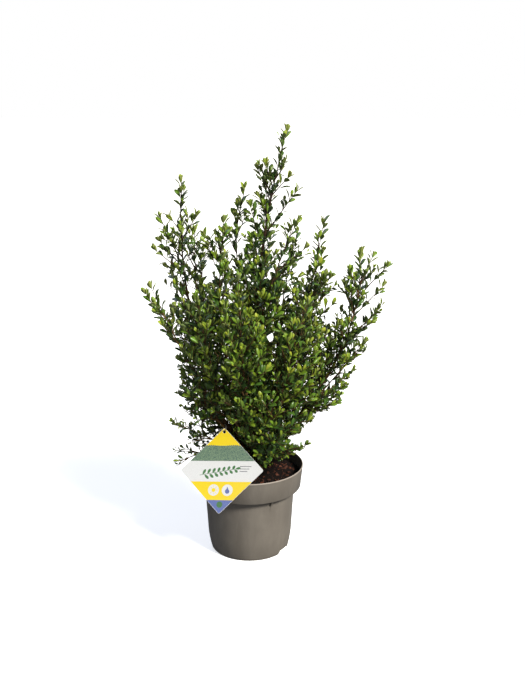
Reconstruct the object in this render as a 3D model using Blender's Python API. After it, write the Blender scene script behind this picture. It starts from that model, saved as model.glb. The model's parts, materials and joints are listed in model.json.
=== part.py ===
# Small-leaved holly shrub in a nursery pot: pot, compost, short trunk, boughs, masses of foliage, hang tag.
# Metres, +Z up. The origin is the centre of the pot's flat underside. -Y faces the viewer.

import math
import random

import bmesh
import bpy
import numpy as np
from mathutils import Matrix, Vector

# Clearance kept between pieces that touch
GAP = 0.0003
JOINT_GAP = 0.0005

# Pot, a five litre round container with a broad collar, standing on a foot ring and a middle pad
POT_HEIGHT = 0.187
RIM_RADIUS = 0.113
COLLAR_FOOT_RADIUS = 0.1075
COLLAR_FOOT_Z = 0.140
BODY_TOP_RADIUS = 0.0945
BODY_LOW_RADIUS = 0.0892
BODY_LOW_Z = 0.050
BASE_RADIUS = 0.0815
WALL = 0.0022
LIP = 0.0035
POT_SIDES = 28
PAD_RADIUS = 0.046
CHANNEL_RADIUS = 0.074
CHANNEL_HEIGHT = 0.0105
NOTCH_AZIMUTHS = (-27.0, 153.0)
NOTCH_WIDTH = 0.046
NOTCH_HEIGHT = 0.0095
RIB_COUNT = 6
RIB_AZIMUTH = -2.0
RIB_REACH = 0.0105
RIB_DROP = 0.018
RIB_THICKNESS = 0.0026
DRAIN_COUNT = 6
DRAIN_RING = 0.061
DRAIN_RADIUS = 0.005
DRAIN_SIDES = 8

# Compost, level under the trunk and falling a little to the wall
SOIL_Z = 0.1690
SOIL_EDGE_Z = 0.1640
SOIL_LEVEL_RADIUS = 0.028

# Trunk, a short foot that divides at once into arms
FOOT = Vector((0.010, 0.004, SOIL_Z))
TRUNK_PROFILE = ((0.0200, GAP), (0.0150, 0.006), (0.0125, 0.016), (0.0115, 0.030), (0.0080, 0.042))
TRUNK_SIDES = 10
FORK_RISE = 0.020
ARM_LENGTH = 0.056
LIMB_TIP_RADIUS = 0.0010
LIMB_SIDES = 6
LIMB_STEP = 0.045
FORK_RATIO = 0.78

# Limbs. Each runs from the trunk, or from its parent at a share (fork) of the parent's length, towards bend
# and on to tip. bough is the share of its length that is bare limb, and spread the longest twig of its mass.
# A limb with no bough has its mass right on the trunk's arm.
LIMBS = {
    "crown_leader": dict(
        bend=(-0.010, 0.000, 0.540), tip=(0.067, 0.000, 0.843),
        bough=0.58, spread=0.100, radius=0.0062, leaf=0.72, seed=36,
    ),
    "left_leader": dict(
        bend=(-0.152, 0.030, 0.455), tip=(-0.131, -0.010, 0.746),
        bough=0.50, spread=0.092, radius=0.0056, leaf=0.78, seed=118,
    ),
    "left_low": dict(
        bend=(-0.092, -0.055, 0.350), tip=(-0.178, -0.040, 0.542),
        bough=0.36, spread=0.066, radius=0.0050, leaf=0.90, seed=56,
    ),
    "left_bottom": dict(
        bend=(-0.070, -0.040, 0.255), tip=(-0.122, -0.066, 0.288),
        bough=0.00, spread=0.075, radius=0.0040, leaf=1.00, seed=47,
    ),
    "left_rim": dict(
        bend=(-0.060, -0.020, 0.215), tip=(-0.122, -0.030, 0.224),
        bough=0.00, spread=0.048, radius=0.0034, leaf=0.80, seed=55,
    ),
    "right_leader": dict(
        bend=(0.105, 0.000, 0.440), tip=(0.143, 0.000, 0.666),
        bough=0.45, spread=0.055, radius=0.0055, leaf=0.80, seed=96,
    ),
    "right_outer": dict(
        bend=(0.222, -0.020, 0.400), tip=(0.222, 0.000, 0.604),
        bough=0.45, spread=0.106, radius=0.0055, leaf=0.85, seed=98,
    ),
    "right_bottom": dict(
        bend=(0.100, 0.045, 0.270), tip=(0.190, 0.045, 0.352),
        bough=0.00, spread=0.065, radius=0.0044, leaf=1.00, seed=90,
    ),
    "right_rim": dict(
        bend=(0.062, -0.030, 0.212), tip=(0.098, -0.052, 0.238),
        bough=0.00, spread=0.050, radius=0.0034, leaf=0.75, seed=42,
    ),
    "front": dict(
        bend=(-0.010, -0.150, 0.380), tip=(-0.016, -0.150, 0.570),
        bough=0.30, spread=0.085, radius=0.0052, leaf=1.10, seed=107,
    ),
    "front_low": dict(
        bend=(0.040, -0.085, 0.230), tip=(0.045, -0.145, 0.350),
        bough=0.00, spread=0.100, radius=0.0042, leaf=1.05, seed=22,
    ),
    "back": dict(
        bend=(0.020, 0.165, 0.420), tip=(0.030, 0.165, 0.650),
        bough=0.36, spread=0.088, radius=0.0055, leaf=1.10, seed=27,
    ),
    "back_low": dict(
        bend=(0.010, 0.085, 0.240), tip=(0.005, 0.175, 0.350),
        bough=0.00, spread=0.095, radius=0.0044, leaf=1.10, seed=50,
    ),
    "left_second": dict(
        parent="left_leader", fork=0.30, bend=(-0.112, 0.070, 0.430), tip=(-0.110, 0.045, 0.636),
        bough=0.30, spread=0.062, leaf=0.95, seed=139,
    ),
    "left_mid": dict(
        parent="left_low", fork=0.22, bend=(-0.078, -0.089, 0.316), tip=(-0.118, -0.075, 0.418),
        bough=0.32, spread=0.075, leaf=0.95, seed=82,
    ),
    "mid_left": dict(
        parent="crown_leader", fork=0.15, bend=(-0.075, -0.060, 0.420), tip=(-0.050, -0.062, 0.670),
        bough=0.34, spread=0.072, leaf=0.95, seed=77,
    ),
    "centre_left": dict(
        parent="crown_leader", fork=0.34, bend=(-0.030, 0.030, 0.560), tip=(-0.024, 0.030, 0.690),
        bough=0.24, spread=0.066, leaf=0.95, seed=128,
    ),
    "centre_right": dict(
        parent="crown_leader", fork=0.26, bend=(0.012, -0.055, 0.520), tip=(0.082, -0.042, 0.676),
        bough=0.36, spread=0.058, leaf=0.80, seed=126,
    ),
    "right_inner": dict(
        parent="right_leader", fork=0.30, bend=(0.048, 0.060, 0.440), tip=(0.090, 0.055, 0.632),
        bough=0.34, spread=0.064, leaf=0.95, seed=28,
    ),
    "right_low": dict(
        parent="right_outer", fork=0.22, bend=(0.140, -0.060, 0.355), tip=(0.206, -0.045, 0.432),
        bough=0.30, spread=0.085, leaf=1.00, seed=8,
    ),
    "front_left": dict(
        parent="front", fork=0.16, bend=(-0.070, -0.100, 0.370), tip=(-0.090, -0.120, 0.530),
        bough=0.24, spread=0.076, leaf=1.10, seed=5,
    ),
    "front_right": dict(
        parent="front", fork=0.20, bend=(0.070, -0.115, 0.350), tip=(0.105, -0.120, 0.520),
        bough=0.24, spread=0.088, leaf=1.10, seed=100,
    ),
    "back_left": dict(
        parent="back", fork=0.20, bend=(-0.090, 0.130, 0.390), tip=(-0.105, 0.130, 0.585),
        bough=0.34, spread=0.082, leaf=1.10, seed=106,
    ),
    "back_right": dict(
        parent="back", fork=0.26, bend=(0.130, 0.130, 0.390), tip=(0.150, 0.130, 0.575),
        bough=0.34, spread=0.084, leaf=1.10, seed=8,
    ),
}

# Foliage rule. Leaves are larger than life here, since each stands for several.
TWIG_SPACING = 0.034
TWIG_RADIUS = 0.0014
TWIG_SIDES = 3
STEM_SIDES = 4
STEM_STEPS = 4
GOLDEN_ANGLE = math.radians(137.5)
TWIG_ANGLE_LOW = math.radians(50)
TWIG_ANGLE_HIGH = math.radians(30)
TWIG_LIFT = 0.30
TWIG_TAPER = 0.60
LEAF_LENGTH = 0.050
LEAF_SHAPE = 0.50
LEAF_THICKNESS = 0.0009
LEAF_SINK = 0.0004
LEAF_ANGLE = math.radians(46)
TUFT_ANGLE = math.radians(34)
TUFT_COUNT = 3
TUFT_STEP = 0.0025
LEAF_SPACING = 0.025
LEAF_PITCH = 0.0125
LEAFY_SHARE = 0.75
SPACE_MARGIN = 0.0035
LIMB_MARGIN = 0.0025
TRIES = 7
TRY_TURN = 0.8

# Hang tag, a square card on its corner that leans on the rim and hangs from a bough by a ring
TAG_SIDE = 0.1245
TAG_THICKNESS = 0.0008
TAG_CORNER = 0.004
TAG_CENTRE_X = -0.0548
TAG_CENTRE_Z = 0.2065
TAG_YAW = math.radians(18.1)
TAG_LEAN = math.radians(32.2)
TAG_ROLL = math.radians(6.6)
TAG_HOLE_RADIUS = 0.0033
TAG_HOLE_INSET = 0.0085
TAG_CLEARANCE = 0.006
RING_WIRE = 0.0008
RING_RADIUS = 0.0063
RING_TURN = math.radians(45)
RING_SIDES = 5
RING_STEPS = 16

COLOURS = {
    "pot_plastic": ((0.205, 0.185, 0.160), 0.45),
    "compost": ((0.030, 0.018, 0.012), 0.95),
    "old_bark": ((0.165, 0.115, 0.065), 0.85),
    "leaf": ((0.060, 0.130, 0.020), 0.40),
    "tag_card": ((0.780, 0.780, 0.740), 0.35),
    "tag_ring": ((0.620, 0.600, 0.520), 0.40),
}


def material(name):
    """The Principled material of that name, made once."""
    found = bpy.data.materials.get(name)
    if found:
        return found
    colour, roughness = COLOURS[name]
    made = bpy.data.materials.new(name)
    made.use_nodes = True
    shader = made.node_tree.nodes["Principled BSDF"]
    shader.inputs["Base Color"].default_value = (*colour, 1.0)
    shader.inputs["Roughness"].default_value = roughness
    shader.inputs["Metallic"].default_value = 0.0
    made.diffuse_color = (*colour, 1.0)
    return made


def object_from(name, mesh, finish, collection=None):
    made = bpy.data.objects.new(name, mesh)
    if finish:
        mesh.materials.append(material(finish))
    (collection or bpy.context.scene.collection).objects.link(made)
    return made


def mesh_from(name, points, faces):
    mesh = bpy.data.meshes.new(name)
    mesh.from_pydata([tuple(p) for p in points], [], faces)
    mesh.validate()
    return mesh


def turned(name, profile, sides, centre=(0.0, 0.0, 0.0)):
    """Mesh of a closed profile of (radius, height) points, turned about the vertical through centre."""
    shape = bmesh.new()
    ring = [shape.verts.new((radius + centre[0], centre[1], rise + centre[2])) for radius, rise in profile]
    edges = [shape.edges.new((ring[i], ring[(i + 1) % len(ring)])) for i in range(len(ring))]
    bmesh.ops.spin(shape, geom=ring + edges, cent=centre, axis=(0, 0, 1), angle=math.tau, steps=sides,
                   use_merge=True)
    bmesh.ops.remove_doubles(shape, verts=shape.verts, dist=1e-6)
    bmesh.ops.recalc_face_normals(shape, faces=shape.faces)
    mesh = bpy.data.meshes.new(name)
    shape.to_mesh(mesh)
    shape.free()
    return mesh


def side_frame(direction):
    """Two unit vectors square to direction, the first as level as can be."""
    across = direction.cross(Vector((0, 0, 1)))
    if across.length < 1e-4:
        across = Vector((1, 0, 0))
    across.normalize()
    return across, across.cross(direction).normalized()


def tube(name, points, radii, sides, closed=False):
    """Mesh of a round-sectioned tube along points, with flat ends square to it unless it is closed."""
    count = len(points)
    rings = []
    across = None
    for i, point in enumerate(points):
        before = points[i - 1] if closed or i else point
        after = points[(i + 1) % count] if closed or i < count - 1 else point
        along = (after - before).normalized()
        if across is None:
            across, _ = side_frame(along)
        across = (across - along * across.dot(along)).normalized()
        up = along.cross(across)
        turn = [math.tau * k / sides for k in range(sides)]
        rings.append([point + (across * math.cos(a) + up * math.sin(a)) * radii[i] for a in turn])
    flat = [p for ring in rings for p in ring]
    faces = []
    for i in range(count if closed else count - 1):
        here, there = i * sides, (i + 1) % count * sides
        for k in range(sides):
            nearby = (k + 1) % sides
            faces.append((here + k, here + nearby, there + nearby, there + k))
    if not closed:
        faces.append(tuple(range(sides))[::-1])
        faces.append(tuple((count - 1) * sides + k for k in range(sides)))
    return mesh_from(name, flat, faces)


def round_bar(name, radius, length, sides, place):
    """Mesh of a short round bar, upright in its own frame."""
    shape = bmesh.new()
    bmesh.ops.create_cone(shape, cap_ends=True, segments=sides, radius1=radius, radius2=radius, depth=length,
                          matrix=place)
    mesh = bpy.data.meshes.new(name)
    shape.to_mesh(mesh)
    shape.free()
    return mesh


def combine(target, meshes, operation, solver="EXACT"):
    """Joins meshes to target, or cuts them from it, in one Boolean on a collection, and applies it."""
    group = bpy.data.collections.new(target.name + "_tools")
    bpy.context.scene.collection.children.link(group)
    for i, mesh in enumerate(meshes):
        object_from(f"{target.name}_tool_{i}", mesh, None, group)
    modifier = target.modifiers.new("combine", "BOOLEAN")
    modifier.operation = operation
    modifier.solver = solver
    modifier.operand_type = "COLLECTION"
    modifier.collection = group
    bpy.context.view_layer.update()
    graph = bpy.context.evaluated_depsgraph_get()
    result = bpy.data.meshes.new_from_object(target.evaluated_get(graph))
    target.modifiers.clear()
    target.data = result
    for tool in list(group.objects):
        bpy.data.objects.remove(tool)
    bpy.data.collections.remove(group)
    return target


def keep_main_body(mesh):
    """Keeps the body with the most faces, joined edge to edge. This fills any hollow sealed between leaves."""
    shape = bmesh.new()
    shape.from_mesh(mesh)
    waiting = set(shape.faces)
    bodies = []
    while waiting:
        queue = [waiting.pop()]
        body = set(queue)
        while queue:
            for edge in queue.pop().edges:
                fresh = [face for face in edge.link_faces if face not in body]
                body.update(fresh)
                queue += fresh
        waiting -= body
        bodies.append(body)
    main = max(bodies, key=len)
    bmesh.ops.delete(shape, geom=[face for face in shape.faces if face not in main], context="FACES")
    shape.to_mesh(mesh)
    shape.free()


# Pot and compost


def pot_outer_radius(height):
    """Radius of the pot's body at a height: straight above, tucked in towards the base."""
    if height >= BODY_LOW_Z:
        share = (height - BODY_LOW_Z) / (COLLAR_FOOT_Z - BODY_LOW_Z)
        return BODY_LOW_RADIUS + share * (BODY_TOP_RADIUS - BODY_LOW_RADIUS)
    share = 1 - height / BODY_LOW_Z
    return BODY_LOW_RADIUS - share**1.7 * (BODY_LOW_RADIUS - BASE_RADIUS)


def pot_inner_profile(clearance):
    """The inside of the pot from its middle to the collar, or the side of what fills it, clear by clearance."""
    floor = WALL + clearance
    ledge = CHANNEL_HEIGHT + WALL + clearance
    gap = WALL + clearance
    return [
        (0.0, floor),
        (PAD_RADIUS - 0.001 - clearance, floor),
        (PAD_RADIUS + 0.0015 - clearance, ledge),
        (pot_outer_radius(ledge) - gap, ledge),
        (pot_outer_radius(BODY_LOW_Z) - gap, BODY_LOW_Z),
        (BODY_TOP_RADIUS - gap, COLLAR_FOOT_Z + WALL + clearance / 2),
        (COLLAR_FOOT_RADIUS - gap, COLLAR_FOOT_Z + 2 * WALL + clearance),
    ]


def pot_profile():
    """The pot's closed profile: outer side down, underside, then the inner side up."""
    body_heights = (COLLAR_FOOT_Z, BODY_LOW_Z, 0.028, 0.007)
    outer = [
        (RIM_RADIUS - 0.5 * LIP, POT_HEIGHT),
        (RIM_RADIUS, POT_HEIGHT - 0.4 * LIP),
        (RIM_RADIUS, POT_HEIGHT - 3.0 * LIP),
        (COLLAR_FOOT_RADIUS + 0.0012, COLLAR_FOOT_Z + 0.006),
        (COLLAR_FOOT_RADIUS, COLLAR_FOOT_Z),
    ]
    outer += [(pot_outer_radius(height), height) for height in body_heights]
    underside = [
        (BASE_RADIUS - 0.0012, 0.0),
        (CHANNEL_RADIUS, 0.0),
        (CHANNEL_RADIUS - 0.001, CHANNEL_HEIGHT),
        (PAD_RADIUS + 0.002, CHANNEL_HEIGHT),
        (PAD_RADIUS, 0.0),
        (0.0, 0.0),
    ]
    mouth = [(RIM_RADIUS - WALL, POT_HEIGHT - 3.0 * LIP), (RIM_RADIUS - WALL, POT_HEIGHT)]
    return outer + underside + pot_inner_profile(0.0) + mouth


def around(azimuth):
    return Matrix.Rotation(math.radians(azimuth), 4, "Z")


def notch_blocks():
    """A block with slanted ends for each drain notch in the foot ring."""
    meshes = []
    outward = (CHANNEL_RADIUS - 0.006, BASE_RADIUS + 0.010)
    for i, azimuth in enumerate(NOTCH_AZIMUTHS):
        shape = ((-0.002, NOTCH_WIDTH / 2), (NOTCH_HEIGHT, NOTCH_WIDTH / 2 - 0.005))
        points = []
        for x in outward:
            (low, wide), (high, narrow) = shape
            points += [(x, -wide, low), (x, wide, low), (x, narrow, high), (x, -narrow, high)]
        points = [around(azimuth) @ Vector(p) for p in points]
        faces = [(0, 3, 2, 1), (4, 5, 6, 7), (0, 1, 5, 4), (1, 2, 6, 5), (2, 3, 7, 6), (3, 0, 4, 7)]
        meshes.append(mesh_from(f"notch_{i}", points, faces))
    return meshes


def collar_ribs():
    """The small upright ribs that brace the collar from below."""
    meshes = []
    top = COLLAR_FOOT_Z + 0.0005
    inside = BODY_TOP_RADIUS - 0.0012
    half = RIB_THICKNESS / 2
    for i in range(RIB_COUNT):
        turn = around(RIB_AZIMUTH + 360.0 * i / RIB_COUNT)
        outline = ((inside, top), (BODY_TOP_RADIUS + RIB_REACH, top), (inside, top - RIB_DROP))
        points = [turn @ Vector((x, side * half, z)) for side in (-1, 1) for x, z in outline]
        faces = [(0, 2, 1), (3, 4, 5), (0, 1, 4, 3), (1, 2, 5, 4), (2, 0, 3, 5)]
        meshes.append(mesh_from(f"rib_{i}", points, faces))
    return meshes


def drain_holes():
    meshes = []
    for i in range(DRAIN_COUNT):
        place = around(18.0 + 360.0 * i / DRAIN_COUNT) @ Matrix.Translation((DRAIN_RING, 0, CHANNEL_HEIGHT))
        meshes.append(round_bar(f"drain_{i}", DRAIN_RADIUS, 4 * WALL, DRAIN_SIDES, place))
    return meshes


def make_pot():
    pot = object_from("pot", turned("pot", pot_profile(), POT_SIDES), "pot_plastic")
    combine(pot, collar_ribs(), "UNION")
    combine(pot, notch_blocks() + drain_holes(), "DIFFERENCE")
    pot.data.set_sharp_from_angle(angle=math.radians(35))
    return pot


def make_soil():
    """The compost fills the pot to a little below the rim."""
    slope = (RIM_RADIUS - COLLAR_FOOT_RADIUS) / (POT_HEIGHT - 3.0 * LIP - COLLAR_FOOT_Z - 2 * WALL)
    rise = SOIL_EDGE_Z - COLLAR_FOOT_Z - 2 * WALL
    edge = COLLAR_FOOT_RADIUS - WALL + slope * rise - 2 * GAP
    surface = [(edge, SOIL_EDGE_Z), (SOIL_LEVEL_RADIUS, SOIL_Z), (0.0, SOIL_Z)]
    return object_from("soil", turned("soil", pot_inner_profile(GAP) + surface, POT_SIDES), "compost")


# Limbs


class Path:
    """A limb's centre line, read by distance along it."""

    def __init__(self, start, bend, tip):
        shares = np.linspace(0.0, 1.0, 81)[:, None]
        ends = [np.array(p, float) for p in (start, bend, tip)]
        self.points = ends[0] * (1 - shares) ** 2 + ends[1] * 2 * shares * (1 - shares) + ends[2] * shares**2
        steps = np.linalg.norm(np.diff(self.points, axis=0), axis=1)
        self.distance = np.concatenate([[0.0], np.cumsum(steps)])
        self.length = float(self.distance[-1])

    def at(self, distance):
        return Vector([float(np.interp(distance, self.distance, self.points[:, k])) for k in range(3)])

    def along(self, distance):
        step = 0.002
        low = min(max(distance - step, 0.0), self.length - 2 * step)
        return (self.at(low + 2 * step) - self.at(low)).normalized()


def limb_paths():
    paths = {}
    for name, limb in LIMBS.items():
        if "parent" in limb:
            parent = paths[limb["parent"]]
            start = parent.at(limb["fork"] * parent.length)
        else:
            start = FOOT + Vector((0, 0, FORK_RISE))
        paths[name] = Path(start, limb["bend"], limb["tip"])
    return paths


def limb_radius(name, share):
    """Radius of a limb at a share of its length, from its thick end to its tip."""
    limb = LIMBS[name]
    base = limb["radius"] if "radius" in limb else FORK_RATIO * limb_radius(limb["parent"], limb["fork"])
    return base + (LIMB_TIP_RADIUS - base) * share**0.85


def bough_range(name, path):
    """Where a limb's bare bough starts and ends along the limb."""
    first = 0.0 if "parent" in LIMBS[name] else ARM_LENGTH + JOINT_GAP
    if not LIMBS[name]["bough"]:
        return ARM_LENGTH, ARM_LENGTH
    return first, LIMBS[name]["bough"] * path.length


def limb_tube(name, path, first, last, grow=0.0, mesh_name=None):
    steps = max(2, math.ceil((last - first) / LIMB_STEP))
    distances = [first + (last - first) * i / steps for i in range(steps + 1)]
    radii = [limb_radius(name, d / path.length) + grow for d in distances]
    return tube(mesh_name or name, [path.at(d) for d in distances], radii, LIMB_SIDES)


def make_trunk(paths):
    """The foot with its root flare, and one arm for each limb that leaves it."""
    profile = [(0.0, TRUNK_PROFILE[-1][1] + 0.003)] + list(TRUNK_PROFILE[::-1]) + [(0.0, GAP)]
    foot = turned("trunk", profile, TRUNK_SIDES, tuple(FOOT))
    trunk = object_from("trunk", foot, "old_bark")
    arms = [limb_tube(name, path, 0.0, ARM_LENGTH, mesh_name=f"arm_{name}")
            for name, path in paths.items() if "parent" not in LIMBS[name]]
    return combine(trunk, arms, "UNION")


def make_boughs(paths):
    """One tapering limb for each mass. A limb that forks from another is cut to fit round it."""
    for name, path in paths.items():
        first, last = bough_range(name, path)
        if first == last:
            continue
        bough = object_from(f"bough_{name}", limb_tube(name, path, first, last), "old_bark")
        parent = LIMBS[name].get("parent")
        if parent:
            parent_first, parent_last = bough_range(parent, paths[parent])
            cutter = limb_tube(parent, paths[parent], parent_first, parent_last, GAP)
            combine(bough, [cutter], "DIFFERENCE")


# Foliage


class Space:
    """Tells whether a point lies in a mass's own space: nearer its stem than any other, and clear of all else."""

    def __init__(self, paths, tag):
        self.stems = {}
        self.limbs = []
        for name, path in paths.items():
            _, last = bough_range(name, path)
            stem = np.arange(last, path.length, 0.004)
            self.stems[name] = np.array([path.at(d) for d in stem])
            bare = np.arange(0.0, last, 0.003)
            self.limbs += [(*path.at(d), limb_radius(name, d / path.length)) for d in bare]
        self.limbs = np.array(self.limbs)
        self.tag = tag

    def margin(self, name, points):
        """How much nearer the worst of points is to its own stem than to any other."""
        here = self._nearest(self.stems[name], points)
        others = [self._nearest(stem, points) for other, stem in self.stems.items() if other != name]
        return float((np.min(others, axis=0) - here).min())

    def holds(self, name, points, limb_margin):
        points = np.array(points, float)
        if self.margin(name, points) < SPACE_MARGIN:
            return False
        gaps = np.linalg.norm(points[:, None] - self.limbs[None, :, :3], axis=2) - self.limbs[None, :, 3]
        if gaps.min() < limb_margin:
            return False
        radius = np.linalg.norm(points[:, :2], axis=1)
        over_rim = points[:, 2] > POT_HEIGHT + 0.004
        in_mouth = (radius < RIM_RADIUS - 0.012) & (points[:, 2] > SOIL_Z + 0.004)
        if not (over_rim | in_mouth).all():
            return False
        return not self.tag.near(points)

    @staticmethod
    def _nearest(stem, points):
        return np.linalg.norm(points[:, None] - stem[None], axis=2).min(axis=1)


def leaf_points(root, along, outward, angle, length):
    """A leaf of six faces: root, two sides and tip round a flat back, and a raised middle on the upper face."""
    axis = along * math.cos(angle) + outward * math.sin(angle)
    across = along.cross(outward)
    base = root - axis * LEAF_SINK
    widest = base + axis * (0.58 * length)
    side = across * (LEAF_SHAPE * length / 2)
    ridge = across.cross(axis).normalized() * LEAF_THICKNESS
    return [base, widest - side, widest + side, base + axis * length, base + axis * (0.5 * length) + ridge]


LEAF_FACES = ((1, 0, 4), (3, 1, 4), (2, 3, 4), (0, 2, 4), (0, 1, 2), (1, 3, 2))


def leaf_samples(corners):
    """The corners of a leaf, and points between them, for the space test. The root itself is in its twig."""
    base, left, right, tip, _ = corners
    near = base.lerp(tip, 0.25)
    return [left, right, tip, base.lerp(tip, 0.5), near, left.lerp(tip, 0.5), right.lerp(tip, 0.5)]


def twig_curve(root, along, outward, angle, length):
    """Points of a side twig that leaves at an angle and lifts towards the light."""
    start = along * math.cos(angle) + outward * math.sin(angle)
    lifted = (start + Vector((0, 0, TWIG_LIFT)) * 2).normalized()
    middle = root + start * (0.5 * length)
    return [root, middle, middle + lifted * (0.5 * length)]


class Leaves:
    """The leaves of one mass. Each keeps inside the mass's space and off the leaves already placed."""

    def __init__(self, name, space):
        self.name = name
        self.space = space
        self.length = LEAF_LENGTH * LIMBS[name]["leaf"]
        self.middles = []
        self.shapes = []

    def add(self, root, along, turn, angle):
        across, up = side_frame(along)
        corners = leaf_points(root, along, across * math.cos(turn) + up * math.sin(turn), angle, self.length)
        middles = [corners[0].lerp(corners[3], share) for share in (0.4, 0.7, 1.0)]
        if any((a - b).length < LEAF_PITCH for a in middles for b in self.middles):
            return
        if self.space.holds(self.name, leaf_samples(corners), LIMB_MARGIN):
            self.middles += middles
            self.shapes.append(mesh_from("leaf", corners, LEAF_FACES))

    def dress(self, points, sides, phase, spacing):
        """A tuft at the tip of a twig, then side leaves back along it, each out of the middle of a side."""
        total = sum((b - a).length for a, b in zip(points, points[1:]))
        for i in range(TUFT_COUNT):
            root, along = point_on(points, total - TUFT_STEP * (i + 1))
            self.add(root, along, math.tau * (i + 0.5) / sides, TUFT_ANGLE)
        for i in range(int(total * LEAFY_SHARE / spacing)):
            root, along = point_on(points, total - spacing * (i + 0.8))
            rank = round((phase + GOLDEN_ANGLE * i) * sides / math.tau)
            self.add(root, along, math.tau * (rank + 0.5) / sides, LEAF_ANGLE)


def point_on(points, distance):
    """Point and direction at a distance along a line of points."""
    for a, b in zip(points, points[1:]):
        step = (b - a).length
        if distance <= step or b is points[-1]:
            along = (b - a).normalized()
            return a + along * min(distance, step), along
        distance -= step
    return points[-1], (points[-1] - points[-2]).normalized()


def mass_twigs(name, path, space, leaves, first):
    """Side twigs of one mass with their leaves, by the golden angle up its stem."""
    rule = random.Random(LIMBS[name]["seed"])
    phase = rule.uniform(0, math.tau)
    stem_length = path.length - first
    count = max(3, round(stem_length / TWIG_SPACING))
    for k in range(count):
        share = 0.04 + 0.84 * k / (count - 1)
        reach = LIMBS[name]["spread"] * (1 - TWIG_TAPER * share) * rule.uniform(0.85, 1.10)
        root = path.at(first + share * stem_length)
        along = path.along(first + share * stem_length)
        across, up = side_frame(along)
        angle = TWIG_ANGLE_LOW + (TWIG_ANGLE_HIGH - TWIG_ANGLE_LOW) * share
        for attempt in range(TRIES):
            turn = phase + GOLDEN_ANGLE * k + TRY_TURN * attempt
            length = reach * (1 - 0.10 * attempt)
            outward = across * math.cos(turn) + up * math.sin(turn)
            twig = twig_curve(root, along, outward, angle, length)
            check = [a.lerp(b, s) for a, b in zip(twig, twig[1:]) for s in (0.25, 0.6, 1.0)]
            if space.holds(name, check, LIMB_MARGIN):
                radii = [TWIG_RADIUS, TWIG_RADIUS * 0.85, TWIG_RADIUS * 0.7]
                leaves.shapes.append(tube("twig", twig, radii, TWIG_SIDES))
                leaves.dress(twig, TWIG_SIDES, turn, LEAF_SPACING)
                break
    return phase


def make_masses(paths, space):
    for name, path in paths.items():
        first = bough_range(name, path)[1] + JOINT_GAP
        leaves = Leaves(name, space)
        phase = mass_twigs(name, path, space, leaves, first)
        last = path.length - 0.004
        distances = [first + (last - first) * i / STEM_STEPS for i in range(STEM_STEPS + 1)]
        radii = [max(limb_radius(name, d / path.length), TWIG_RADIUS) for d in distances]
        stem = [path.at(d) for d in distances]
        leaves.dress(stem, STEM_SIDES, phase, 1.4 * LEAF_SPACING)
        mass = object_from(f"mass_{name}", tube(name, stem, radii, STEM_SIDES), "leaf")
        combine(mass, leaves.shapes, "UNION", "MANIFOLD")
        keep_main_body(mass.data)


# Hang tag


class Tag:
    """The tag's place: it leans back on the rim, turned to the viewer's left."""

    def __init__(self, profile):
        yaw, lean = TAG_YAW, TAG_LEAN
        self.front = Vector((-math.sin(yaw) * math.cos(lean), -math.cos(yaw) * math.cos(lean), math.sin(lean)))
        level = Vector((math.cos(yaw), -math.sin(yaw), 0.0))
        rise = level.cross(self.front) * -1
        rise = rise if rise.z > 0 else -rise
        self.right = (level * math.cos(TAG_ROLL) + rise * math.sin(TAG_ROLL)).normalized()
        self.up = (rise * math.cos(TAG_ROLL) - level * math.sin(TAG_ROLL)).normalized()
        corner = math.tau / POT_SIDES
        azimuth = math.atan2(self.front.y, self.front.x)
        flat = math.hypot(self.front.x, self.front.y) * math.cos(azimuth - round(azimuth / corner) * corner)
        support = max(radius * flat + height * self.front.z for radius, height in profile)
        offset = support + GAP + TAG_THICKNESS / 2
        level_part = TAG_CENTRE_X * self.front.x + TAG_CENTRE_Z * self.front.z
        self.centre = Vector((TAG_CENTRE_X, (offset - level_part) / self.front.y, TAG_CENTRE_Z))
        self.reach = TAG_SIDE / math.sqrt(2)
        self.hole = self.centre + self.up * (self.reach - TAG_HOLE_INSET)

    def near(self, points):
        """Whether any point is at the card, before it, or at its ring."""
        rel = points - np.array(self.centre)
        ahead = rel @ np.array(self.front)
        inside = np.abs(rel @ np.array(self.right)) + np.abs(rel @ np.array(self.up)) < self.reach + TAG_CLEARANCE
        at_ring = np.linalg.norm(points - np.array(self.hole + self.up * RING_RADIUS), axis=1) < 2 * RING_RADIUS
        return bool((inside & (ahead > -TAG_CLEARANCE)).any() or at_ring.any())

    def place(self):
        """Matrix from the card's own frame, +X right, +Y up the card and +Z out of its front."""
        turn = Matrix((self.right, self.up, self.front)).transposed().to_4x4()
        return Matrix.Translation(self.centre) @ turn


def make_tag(tag):
    """A square card standing on a rounded corner, with a hole under the top one."""
    shape = bmesh.new()
    inner = tag.reach - TAG_CORNER * math.sqrt(2)
    outline = []
    for quarter in range(4):
        middle = math.radians(90 * quarter)
        for step in range(5):
            angle = middle + math.radians(-45 + 22.5 * step)
            outline.append((inner * math.cos(middle) + TAG_CORNER * math.cos(angle),
                            inner * math.sin(middle) + TAG_CORNER * math.sin(angle)))
    low = [shape.verts.new((x, y, -TAG_THICKNESS / 2)) for x, y in outline]
    face = shape.faces.new(low)
    raised = bmesh.ops.extrude_face_region(shape, geom=[face])
    verts = [v for v in raised["geom"] if isinstance(v, bmesh.types.BMVert)]
    bmesh.ops.translate(shape, vec=(0, 0, TAG_THICKNESS), verts=verts)
    bmesh.ops.recalc_face_normals(shape, faces=shape.faces)
    mesh = bpy.data.meshes.new("tag")
    shape.to_mesh(mesh)
    shape.free()
    place = Matrix.Translation((0, tag.reach - TAG_HOLE_INSET, 0))
    punch = round_bar("punch", TAG_HOLE_RADIUS, 6 * TAG_THICKNESS, 12, place)
    card = combine(object_from("tag", mesh, "tag_card"), [punch], "DIFFERENCE")
    card.matrix_world = tag.place()
    return card


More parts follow.
